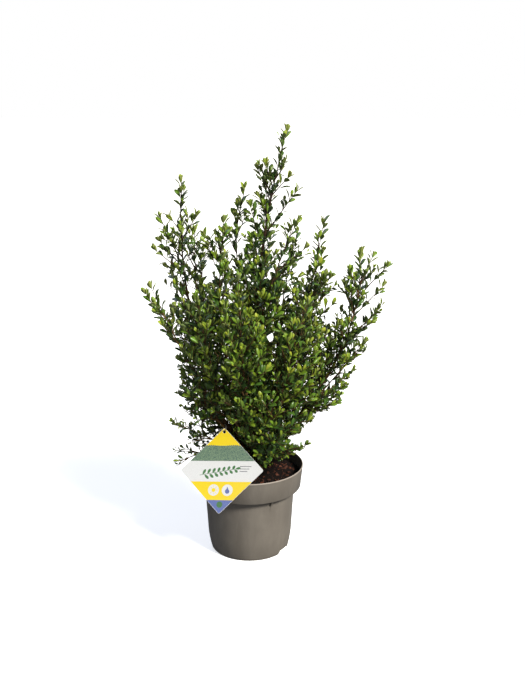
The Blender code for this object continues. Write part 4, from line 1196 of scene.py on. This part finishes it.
def makeLeaves(leaves):
    blades = makeBlades()
    byTone = {name: [] for name in leafTones}
    rule = random.Random(growth["seed"] + 1)
    for leaf in leaves:
        age = leaf[4] * rule.uniform(0.6, 1.6)
        byTone[next(name for name, tone in leafTones.items() if age < tone["age"])].append(leaf)
    made = []
    for i, (name, tone) in enumerate(leafTones.items()):
        roots, axes, normals, sizes, _ = zip(*byTone[name])
        mesh = meshFrom(name, roots, [])
        for label, vectors in (("leafAxis", axes), ("leafNormal", normals)):
            setAttribute(mesh, label, "FLOAT_VECTOR", "POINT", [c for vector in vectors for c in vector])
        setAttribute(mesh, "leafSize", "FLOAT", "POINT", sizes)
        setAttribute(mesh, "leafCast", "FLOAT", "POINT", [rule.random() for _ in roots])
        piece = useTree(objectFrom(name, mesh), leafSpray, {
            "Blades": blades, "Length": leafSettings["length"], "Width": leafSettings["width"], "Seed": i + 1,
            "Upper": leafUpperFinish("waxed_" + name, *tone["upper"], tone["rough"], tone["coat"]),
            "Under": leafUnderFinish("dull_" + name, *tone["under"])})
        for label in ("leafAxis", "leafNormal", "leafSize", "underside"):
            if label in piece.data.attributes:
                piece.data.attributes.remove(piece.data.attributes[label])
        print(name, len(roots), "leaves,", triangleCount(piece), "triangles")
        made.append(piece)
    dropGroup(blades)
    return made


trunkBark = makeTrunk(limbPaths)
boughBark = makeBoughs(limbPaths)
stemBark = sweptPiece("stemBark", crown.shoots["stemBark"], "stem", "bark")
twigBark = sweptPiece("twigBark", crown.shoots["twigBark"], "twig", "twig")
for piece in (trunkBark, boughBark, stemBark, twigBark):
    print(piece.name, triangleCount(piece), "triangles")
leafPieces = makeLeaves(crown.leaves)


# Pot

def potOuterRadius(height):
    if height >= pot["bodyLowZ"]:
        share = (height - pot["bodyLowZ"]) / (pot["collarFootZ"] - pot["bodyLowZ"])
        return pot["bodyLowRadius"] + share * (pot["bodyTopRadius"] - pot["bodyLowRadius"])
    share = 1 - height / pot["bodyLowZ"]
    return pot["bodyLowRadius"] - share**1.7 * (pot["bodyLowRadius"] - pot["baseRadius"])


def potInside(clearance):
    gap = pot["wall"] + clearance
    ledge = pot["channelHeight"] + gap
    return [
        (0.0, gap), (pot["padRadius"] - 0.001 - clearance, gap),
        (pot["padRadius"] + 0.0015 - clearance, ledge),
        (potOuterRadius(ledge) - gap, ledge), (potOuterRadius(0.032) - gap, 0.032),
        (pot["bodyLowRadius"] - gap, pot["bodyLowZ"]),
        (pot["bodyTopRadius"] - gap, pot["collarFootZ"] + pot["wall"] + clearance / 2),
        (pot["collarFootRadius"] - gap, pot["collarFootZ"] + 2 * pot["wall"] + clearance),
    ]


def potOutline():
    # Lip, collar with its crisp lower edge, body, foot ring and middle pad, then the inside
    top, rim, lip = pot["height"], pot["rimRadius"], pot["lip"]
    mouth = rim - pot["wall"]
    footZ, footRadius = pot["collarFootZ"], pot["collarFootRadius"]
    lipRound = [(mouth + 0.0003, top - 0.0005), (mouth + 0.0008, top - 0.0001), (rim - 0.0009, top),
                (rim - 0.0003, top - 0.0004), (rim, top - 0.0011)]
    collar = [(rim, top - lip), (rim - 0.0006, top - lip - 0.0006), (rim - 0.0010, top - 3.0 * lip),
              (footRadius + 0.0006, footZ + 0.0010), (footRadius + 0.0001, footZ + 0.0002),
              (footRadius - 0.0006, footZ)]
    heights = [footZ, footZ - 0.0012, 0.110, 0.080, pot["bodyLowZ"], 0.042, 0.034, 0.026, 0.018, 0.012,
               0.007, 0.003]
    body = [(potOuterRadius(h) + (0.0012 if h == footZ else 0.0), h) for h in heights]
    under = [(pot["baseRadius"] - 0.0006, 0.0008), (pot["baseRadius"] - 0.0014, 0.0),
             (pot["channelRadius"], 0.0), (pot["channelRadius"] - 0.001, pot["channelHeight"]),
             (pot["padRadius"] + 0.002, pot["channelHeight"]), (pot["padRadius"], 0.0), (0.0, 0.0)]
    mouthLine = [(mouth, top - 3.0 * lip), (mouth, top - 0.0015)]
    return lipRound + collar + body + under + potInside(0.0) + mouthLine


def turnedMesh(name, profile, segments):
    shape = bmesh.new()
    ring = [shape.verts.new((radius, 0.0, rise)) for radius, rise in profile]
    edges = [shape.edges.new((ring[i], ring[(i + 1) % len(ring)])) for i in range(len(ring))]
    bmesh.ops.spin(shape, geom=ring + edges, cent=(0, 0, 0), axis=(0, 0, 1), angle=math.tau, steps=segments,
                   use_merge=True)
    bmesh.ops.remove_doubles(shape, verts=shape.verts, dist=1e-6)
    bmesh.ops.recalc_face_normals(shape, faces=shape.faces)
    return meshOf(shape, name)


def aroundPot(azimuth):
    return Matrix.Rotation(math.radians(azimuth), 4, "Z")


def notchBlocks():
    meshes = []
    half, height = pot["notchWidth"] / 2, pot["notchHeight"]
    for azimuth in pot["notchAzimuths"]:
        points = []
        for x in (pot["channelRadius"] - 0.006, pot["baseRadius"] + 0.010):
            points += [(x, -half, -0.002), (x, half, -0.002), (x, half - 0.005, height),
                       (x, 0.005 - half, height)]
        points = [aroundPot(azimuth) @ Vector(p) for p in points]
        faces = [(0, 3, 2, 1), (4, 5, 6, 7), (0, 1, 5, 4), (1, 2, 6, 5), (2, 3, 7, 6), (3, 0, 4, 7)]
        meshes.append(meshFrom("notch", points, faces))
    return meshes


def collarRibs():
    meshes = []
    top = pot["collarFootZ"] + 0.0005
    inside, outside = pot["bodyTopRadius"] - 0.0012, pot["bodyTopRadius"] + pot["ribReach"]
    half = pot["ribThickness"] / 2
    for i in range(pot["ribs"]):
        turn = aroundPot(pot["ribAzimuth"] + 360.0 * i / pot["ribs"])
        outline = ((inside, top), (outside, top), (inside, top - pot["ribDrop"]))
        points = [turn @ Vector((x, side * half, z)) for side in (-1, 1) for x, z in outline]
        faces = [(0, 2, 1), (3, 4, 5), (0, 1, 4, 3), (1, 2, 5, 4), (2, 0, 3, 5)]
        meshes.append(meshFrom("rib", points, faces))
    return meshes


def drainHoles():
    turns = [aroundPot(18.0 + 360.0 * i / pot["drains"]) for i in range(pot["drains"])]
    out = Matrix.Translation((pot["drainRing"], 0, pot["channelHeight"]))
    return [cylinder("drain", pot["drainRadius"], 4 * pot["wall"], 24, turn @ out) for turn in turns]


def combine(target, meshes, operation, finish):
    group = bpy.data.collections.new("tools")
    scene.collection.children.link(group)
    for mesh in meshes:
        group.objects.link(bpy.data.objects.new("tool", mesh))
    cut = target.modifiers.new("combine", "BOOLEAN")
    cut.operation = operation
    cut.solver = "EXACT"
    cut.operand_type = "COLLECTION"
    cut.collection = group
    bpy.context.view_layer.update()
    bake(target)
    dropGroup(group)
    target.data.materials.clear()
    target.data.materials.append(finish)


def makePot():
    body = objectFrom("potBody", turnedMesh("potBody", potOutline(), pot["segments"]))
    combine(body, collarRibs(), "UNION", finishes["pot"])
    combine(body, notchBlocks() + drainHoles(), "DIFFERENCE", finishes["pot"])
    body.data.shade_smooth()
    body.data.set_sharp_from_angle(angle=math.radians(pot["sharpAngle"]))
    return body


potBody = makePot()
print("pot,", triangleCount(potBody), "triangles")


# Compost and bark chips

compost = {
    "segments": 96, "rings": 26, "lump": 0.0022, "lumpMm": 14.0, "crumb": 0.0007, "crumbMm": 4.0,
    "gap": 0.0006,               # between the compost and the collar
    "bedRings": 8, "bedSides": 40, "bedInset": 0.006, "chipSize": 0.0085, "chipSeed": 11, "chipRise": 0.0004,
    # half widths of the three chips, in shares of their size
    "chips": ((0.62, 0.36, 0.13), (0.50, 0.45, 0.18), (0.85, 0.24, 0.12)),
}


def soilHeight(x, y):
    # The compost's level: flat under the trunk, down a little towards the wall, with lumps
    radius = math.hypot(x, y)
    edge = compost["edge"]
    fall = max(0.0, (radius - soil["levelRadius"]) / (edge - soil["levelRadius"]))
    z = soil["z"] - (soil["z"] - soil["edgeZ"]) * fall
    spot = Vector((x, y, 0.0)) * 1000.0
    lump = noise.fractal(spot / compost["lumpMm"], 0.9, 2.0, 4) * compost["lump"]
    crumb = noise.fractal(spot / compost["crumbMm"], 0.7, 2.0, 4) * compost["crumb"]
    return z + lump + crumb


def makeSoil():
    slope = (pot["rimRadius"] - pot["collarFootRadius"]) / (
        pot["height"] - 3.0 * pot["lip"] - pot["collarFootZ"] - 2 * pot["wall"])
    rise = soil["edgeZ"] - pot["collarFootZ"] - 2 * pot["wall"]
    compost["edge"] = pot["collarFootRadius"] - pot["wall"] + slope * rise - compost["gap"]
    rings = compost["rings"]
    surface = [(compost["edge"] * (rings - i) / rings, soil["z"]) for i in range(rings + 1)]
    mesh = turnedMesh("compostBed", potInside(0.0003) + surface, compost["segments"])
    for vertex in mesh.vertices:
        if vertex.co.z > soil["z"] - 1e-4:
            inFromEdge = compost["edge"] - math.hypot(vertex.co.x, vertex.co.y)
            level = soilHeight(vertex.co.x, vertex.co.y)
            vertex.co.z = level if inFromEdge > 1e-4 else soil["edgeZ"]
    mesh.shade_smooth()
    return objectFrom("compostBed", mesh, finishes["compost"])


def makeChipShapes():
    # Three broken flat chips, about 8 mm across
    group = bpy.data.collections.new("chips")
    rule = random.Random(compost["chipSeed"])
    for i, widths in enumerate(compost["chips"]):
        shape = bmesh.new()
        bmesh.ops.create_icosphere(shape, subdivisions=1, radius=compost["chipSize"] / 2)
        for vertex in shape.verts:
            jitter = [rule.uniform(0.70, 1.25) for _ in range(3)]
            vertex.co = Vector([c * 2 * wide * j for c, wide, j in zip(vertex.co, widths, jitter)])
        group.objects.link(bpy.data.objects.new(f"chip{i}", meshOf(shape, f"chip{i}")))
    return group


def chipBed(name):
    # What the chips lie on: a disc in from the wall, at the compost's level
    rings, sides = compost["bedRings"], compost["bedSides"]
    flat = [(0.0, 0.0)]
    for ring in range(1, rings + 1):
        reach = (compost["edge"] - compost["bedInset"]) * ring / rings
        flat += [ringPoint((0.0, 0.0), reach, math.tau * k / sides) for k in range(sides)]
    faces = [(0, 1 + k, 1 + (k + 1) % sides) for k in range(sides)]
    for ring in range(rings - 1):
        low, high = 1 + ring * sides, 1 + (ring + 1) * sides
        faces += [(low + k, high + k, high + (k + 1) % sides, low + (k + 1) % sides) for k in range(sides)]
    return meshFrom(name, [(x, y, soilHeight(x, y)) for x, y in flat], faces)


def makeChips(name, density, smallest, largest, seed):
    shapes = makeChipShapes()
    piece = useTree(objectFrom(name, chipBed(name)), scatter, {
        "Pieces": shapes, "Density": density, "Smallest": smallest, "Largest": largest,
        "Rise": compost["chipRise"], "Seed": seed, "Finish": finishes["chips"]})
    dropGroup(shapes)
    print(name, triangleCount(piece), "triangles")
    return piece


compostBed = makeSoil()
barkChips = makeChips("barkChips", 5200.0, 0.6, 1.4, 3)
barkCrumbs = makeChips("barkCrumbs", 16000.0, 0.16, 0.42, 8)


# Hang tag: a card with a plain garden design of bands, a sprig and two care signs

cardArt = {
    "inkLift": 0.00006, "inkThick": 0.00005, "bleed": 0.0006,
    # heights up the card in metres from its centre
    "skyLow": 0.0500, "hedgeLow": 0.0190, "sandTop": -0.0230, "sandLow": -0.0600,
    "hedgeBump": 0.0022, "hedgeBumps": 17,
    "sprigStart": (-0.040, -0.009), "sprigStep": (0.0105, 0.0018), "sprigPairs": 7, "sprigWidth": 0.0056,
    "sunAt": (-0.0145, -0.0400), "dropAt": (0.0145, -0.0400), "discRadius": 0.0115,
}


def halfWidth(height):
    return max(0.0, tagReach - cardArt["bleed"] - abs(height))


def bandOutline(low, high, bump=0.0, bumps=0):
    # A level band of the card from low to high; its upper edge may be scalloped like a clipped hedge
    lower = [(-halfWidth(low), low), (halfWidth(low), low)]
    if low < 0 < high:
        upperRight, upperLeft = [(halfWidth(0), 0.0)], [(-halfWidth(0), 0.0)]
    else:
        upperRight, upperLeft = [], []
    wide = halfWidth(high)
    if not bumps:
        crest = [(wide, high), (-wide, high)] if wide > 1e-6 else [(0.0, high)]
    else:
        crest = []
        for i in range(bumps * 4 + 1):
            share = i / (bumps * 4)
            rise = bump * abs(math.sin(math.pi * share * bumps)) * (0.6 + 0.4 * math.sin(9.0 * share))
            x = wide * (1 - 2 * share)
            crest.append((x * (1 - (rise / wide)), high + rise))
    return lower + upperRight + crest + upperLeft


def leafOutline(root, angle, length, width):
    axis = Vector((math.cos(angle), math.sin(angle)))
    side = Vector((-axis.y, axis.x))
    shares = ((0, 0), (0.15, 0.45), (0.35, 0.85), (0.6, 1.0), (0.8, 0.8), (0.93, 0.4), (1.0, 0.0))
    outline = [(share * length, wide * width / 2) for share, wide in shares]
    outline += [(x, -y) for x, y in outline[-2:0:-1]]
    return [tuple(Vector(root) + axis * x + side * y) for x, y in outline]


def discOutline(centre, radius, sides=40):
    return [ringPoint(centre, radius, math.tau * k / sides) for k in range(sides)]


def barOutline(start, end, width):
    a, b = Vector(start), Vector(end)
    side = (b - a).normalized().orthogonal() * (width / 2)
    return [tuple(p) for p in (a - side, b - side, b + side, a + side)]


def dropOutline(centre, radius):
    # A water drop: a round foot drawn up to a point
    outline = [ringPoint(centre, radius, math.radians(-240 + 300 * k / 24)) for k in range(25)]
    return outline + [(centre[0], centre[1] + 2.1 * radius)]


def inkPiece(name, outlines, layer, finish):
    # Printed shapes, a hair thick, stacked in layers on the card's front
    shape = bmesh.new()
    for outline in outlines:
        extruded(shape, outline, tagCard["thickness"] / 2 + cardArt["inkLift"] * layer, cardArt["inkThick"])
    bmesh.ops.recalc_face_normals(shape, faces=shape.faces)
    bmesh.ops.triangulate(shape, faces=shape.faces)
    mesh = meshOf(shape, name)
    mesh.transform(tagPlace)
    return objectFrom(name, mesh, finishes[finish])


def cornerPoints(radius, quarter):
    # Points round one of the card's corners
    middle = math.radians(90 * quarter)
    inner = tagReach - tagCard["corner"] * math.sqrt(2)
    centre = (inner * math.cos(middle), inner * math.sin(middle))
    return [ringPoint(centre, radius, middle + math.radians(-45 + 11.25 * i)) for i in range(9)]


def makeCard():
    outline = [point for quarter in range(4) for point in cornerPoints(tagCard["corner"], quarter)]
    shape = bmesh.new()
    extruded(shape, outline, -tagCard["thickness"] / 2, tagCard["thickness"])
    bmesh.ops.recalc_face_normals(shape, faces=shape.faces)
    card = objectFrom("tagCard", meshOf(shape, "tagCard"))
    hole = Matrix.Translation((0, tagReach - tagCard["holeInset"], 0))
    combine(card, [cylinder("punch", tagCard["holeRadius"], 0.006, 32, hole)], "DIFFERENCE", finishes["card"])
    card.data.transform(tagPlace)
    return card


def roundedTop(low):
    # The card's corner above a height, with the corner's rounding
    corner = cornerPoints(tagCard["corner"] - cardArt["bleed"], 1)
    return [(-halfWidth(low), low), (halfWidth(low), low)] + corner


def roundHole(outline):
    # Opens a band's outline at its top point and takes it round the punched hole
    top = max(range(len(outline)), key=lambda i: outline[i][1])
    slit = 0.00001
    middle = tagReach - tagCard["holeInset"]
    radius = tagCard["holeRadius"] + 0.0003
    height = outline[top][1]
    turns = [math.radians(1 + 358 * k / 24) for k in range(25)]
    ring = [(radius * math.sin(a), middle + radius * math.cos(a)) for a in turns]
    return outline[:top] + [(slit, height)] + ring + [(-slit, height)] + outline[top + 1:]


def sprigOutlines():
    # A sprig that lies across the white band, two leaves at each step
    outlines = [barOutline((-0.046, -0.010), (0.030, 0.003), 0.0009)]
    for i in range(cardArt["sprigPairs"]):
        x, y = (start + step * i for start, step in zip(cardArt["sprigStart"], cardArt["sprigStep"]))
        size = 0.0125 - 0.0006 * i
        outlines.append(leafOutline((x, y), math.radians(62), size, cardArt["sprigWidth"]))
        outlines.append(leafOutline((x + 0.004, y), math.radians(-42), size, cardArt["sprigWidth"]))
    return outlines + [leafOutline((0.029, 0.003), math.radians(12), 0.011, 0.005)]


def sunOutlines(centre):
    outlines = [discOutline(centre, 0.0040)]
    for k in range(8):
        inner, outer = (ringPoint(centre, radius, math.tau * k / 8) for radius in (0.0056, 0.0088))
        outlines.append(barOutline(inner, outer, 0.0012))
    return outlines


def makeArt():
    art = cardArt
    sunAt, dropAt = art["sunAt"], art["dropAt"]
    hedge = bandOutline(art["hedgeLow"], art["skyLow"], art["hedgeBump"], art["hedgeBumps"])
    foot = [(x, -y) for x, y in roundedTop(-art["sandLow"])][::-1]
    ruled = [barOutline((0.038, y), (0.062 - 0.004 * i, y), 0.0012)
             for i, y in enumerate(0.008 - 0.005 * i for i in range(3))]
    return [inkPiece(*row) for row in (
        ("inkSky", [roundHole(roundedTop(art["skyLow"]))], 1, "yellow"),
        ("inkHedge", [hedge], 2, "hedge"),
        ("inkSand", [bandOutline(art["sandLow"], art["sandTop"])], 1, "yellow"),
        ("inkFoot", [foot], 1, "violet"),
        ("inkSprig", sprigOutlines(), 1, "leafInk"),
        ("inkLines", ruled, 1, "greyInk"),
        ("inkDiscs", [discOutline(place, art["discRadius"]) for place in (sunAt, dropAt)], 2, "card"),
        ("inkSun", sunOutlines(sunAt), 3, "yellow"),
        ("inkDrop", [dropOutline((dropAt[0], dropAt[1] - 0.0025), 0.0046)], 3, "violet"),
        ("inkRound", [discOutline((0.0, -0.0690), 0.0062)], 2, "leafInk"))]


def makeLoop():
    thread = tagHole + tagUp * (tagCard["holeRadius"] - tagCard["ringWire"] - 0.0006)
    centre = thread + tagUp * tagCard["ringRadius"]
    turn = math.radians(tagCard["ringTurn"])
    through = tagFront * math.cos(turn) + tagRight * math.sin(turn)
    flat = tagUp.cross(through)
    steps, sides = 48, 12
    points, faces = [], []
    for i in range(steps):
        angle = math.tau * i / steps
        out = tagUp * -math.cos(angle) + through * math.sin(angle)
        for k in range(sides):
            around = math.tau * k / sides
            wire = (out * math.cos(around) + flat * math.sin(around)) * tagCard["ringWire"]
            points.append(centre + out * tagCard["ringRadius"] + wire)
            j, m = (i + 1) % steps, (k + 1) % sides
            faces.append((i * sides + k, j * sides + k, j * sides + m, i * sides + m))
    shape = bmesh.new()
    shape.from_mesh(meshFrom("loop", points, faces))
    bmesh.ops.recalc_face_normals(shape, faces=shape.faces)
    mesh = meshOf(shape, "tagLoop")
    mesh.shade_smooth()
    return objectFrom("tagLoop", mesh, finishes["ring"])


tagPiece = makeCard()
tagInks = makeArt()
tagLoop = makeLoop()
print("hang tag made")


# What each piece rides on and stands for; each row also lists a finish slot, which is not used

masses = ["mass_" + name for name in limbs]
boughs = ["bough_" + name for name in limbs if limbs[name]["bough"]]
roles = [
    (trunkBark, "old_bark", ["trunk"]), (boughBark, "old_bark", boughs), (stemBark, "old_bark", masses),
    (twigBark, "old_bark", masses), (potBody, "pot_plastic", ["pot"]), (compostBed, "compost", ["soil"]),
    (barkChips, "compost", []), (barkCrumbs, "compost", []), (tagPiece, "tag_card", ["tag"]),
    (tagLoop, "tag_ring", ["tag_ring"]),
]
roles += [(piece, "leaf", masses) for piece in leafPieces]
roles += [(piece, "tag_card", []) for piece in tagInks]
for piece, slotName, nodes in roles:
    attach(piece, "root")
    if nodes:
        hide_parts(*nodes)
print("pieces ride on the packed body")


# Studio: a pale floor, a soft key from the right and front, a weak fill and an even white surround

studio = {
    "floorSize": 60.0, "floorColour": "#F6F6F4", "bounceColour": "#787878", "floorLift": 0.60,
    "sunFrom": (0.92, -0.90, 1.10), "sunStrength": 5.3, "sunSoftness": 14.0,      # softness in degrees
    "surround": 0.20,
    # name, place, power, colour and size of each soft light; the last is the hang tag's own even light
    "crownMiddle": (0.0, 0.0, 0.42),
    "fill": ("fillLight", (-1.6, -2.2, 1.0), 5.0, "#E8F0FF", 1.6),
    "sky": ("skyLight", (-1.2, 1.6, 2.6), 38.0, "#D4E2FF", 2.5),
    "card": ("cardLight", (-0.6, -1.6, 1.0), 26.0, "#FFFFFF", 0.5),
}


def makeFloor():
    half = studio["floorSize"] / 2
    corners = [(-half, -half, 0), (half, -half, 0), (half, half, 0), (-half, half, 0)]
    finish, tree, place = newFinish("matt_white_paper", {
        "Specular IOR Level": 0.2, "Emission Color": linearColour("#FFFFFF")})
    # It shows pale, but throws little light back, so that the inside of the crown stays dark
    base = addNode(tree, "ShaderNodeValToRGB", inputs={"Fac": grain(tree, place, 300.0, 2.0)}, stops=(
        (0.3, "#F1F1EF"), (0.7, studio["floorColour"])))
    seen = addNode(tree, "ShaderNodeLightPath").outputs["Is Camera Ray"]
    shown = addNode(tree, "ShaderNodeMix", {"data_type": "RGBA"}, {
        0: seen, 6: linearColour(studio["bounceColour"]), 7: base.outputs[0]})
    lift = addNode(tree, "ShaderNodeMapRange", inputs={"Value": seen, "To Max": studio["floorLift"]})
    dullness = addNode(tree, "ShaderNodeMapRange", inputs={
        "Value": grain(tree, place, 2.0), "To Min": 0.85, "To Max": 0.95})
    wired(finish, {
        "Base Color": shown.outputs[2], "Emission Strength": lift.outputs[0],
        "Roughness": dullness.outputs[0]})
    objectFrom("floor", meshFrom("floor", corners, [(0, 1, 2, 3)]), finish)


def makeLight(kind, target, name, place, power, hexValue):
    data = bpy.data.lights.new(name, kind)
    data.energy = power
    data.color = linearColour(hexValue)[:3]
    light = bpy.data.objects.new(name, data)
    light.location = place
    light.rotation_euler = (Vector(place) - Vector(target)).to_track_quat("Z", "Y").to_euler()
    scene.collection.objects.link(light)
    return light


def softLight(target, name, place, power, hexValue, size):
    light = makeLight("AREA", target, name, place, power, hexValue)
    light.data.shape = "DISK"
    light.data.size = size
    return light


def linkTo(light, label, state):
    # Shines on the hang tag alone, or on all but the hang tag
    group = bpy.data.collections.new(label)
    light.light_linking.receiver_collection = group
    for i, piece in enumerate([tagPiece, *tagInks]):
        group.objects.link(piece)
        group.collection_objects[i].light_linking.link_state = state


makeFloor()
keyLight = makeLight("SUN", (0.0, 0.0, 0.0), "keyLight", studio["sunFrom"], studio["sunStrength"], "#FFF9F0")
keyLight.data.angle = math.radians(studio["sunSoftness"])
softLight(studio["crownMiddle"], *studio["fill"])
softLight(studio["crownMiddle"], *studio["sky"])
cardLight = softLight(tagCentre, *studio["card"])
linkTo(cardLight, "litByCardLight", "INCLUDE")
linkTo(keyLight, "notLitByKeyLight", "EXCLUDE")
world = bpy.data.worlds.new("surround")
scene.world = world
world.use_nodes = True
worldTree = world.node_tree
background = worldTree.nodes["Background"]
background.inputs["Color"].default_value = linearColour("#E8EEFC")
background.inputs["Strength"].default_value = studio["surround"]
white = addNode(worldTree, "ShaderNodeBackground", inputs={"Color": (1.0, 1.0, 1.0, 1.0), "Strength": 1.0})
seen = addNode(worldTree, "ShaderNodeLightPath").outputs["Is Camera Ray"]
shown = addNode(worldTree, "ShaderNodeMixShader", inputs={
    0: seen, 1: background.outputs[0], 2: white.outputs[0]})
worldTree.links.new(shown.outputs[0], worldTree.nodes["World Output"].inputs["Surface"])
print("studio set")


bpy.context.view_layer.update()
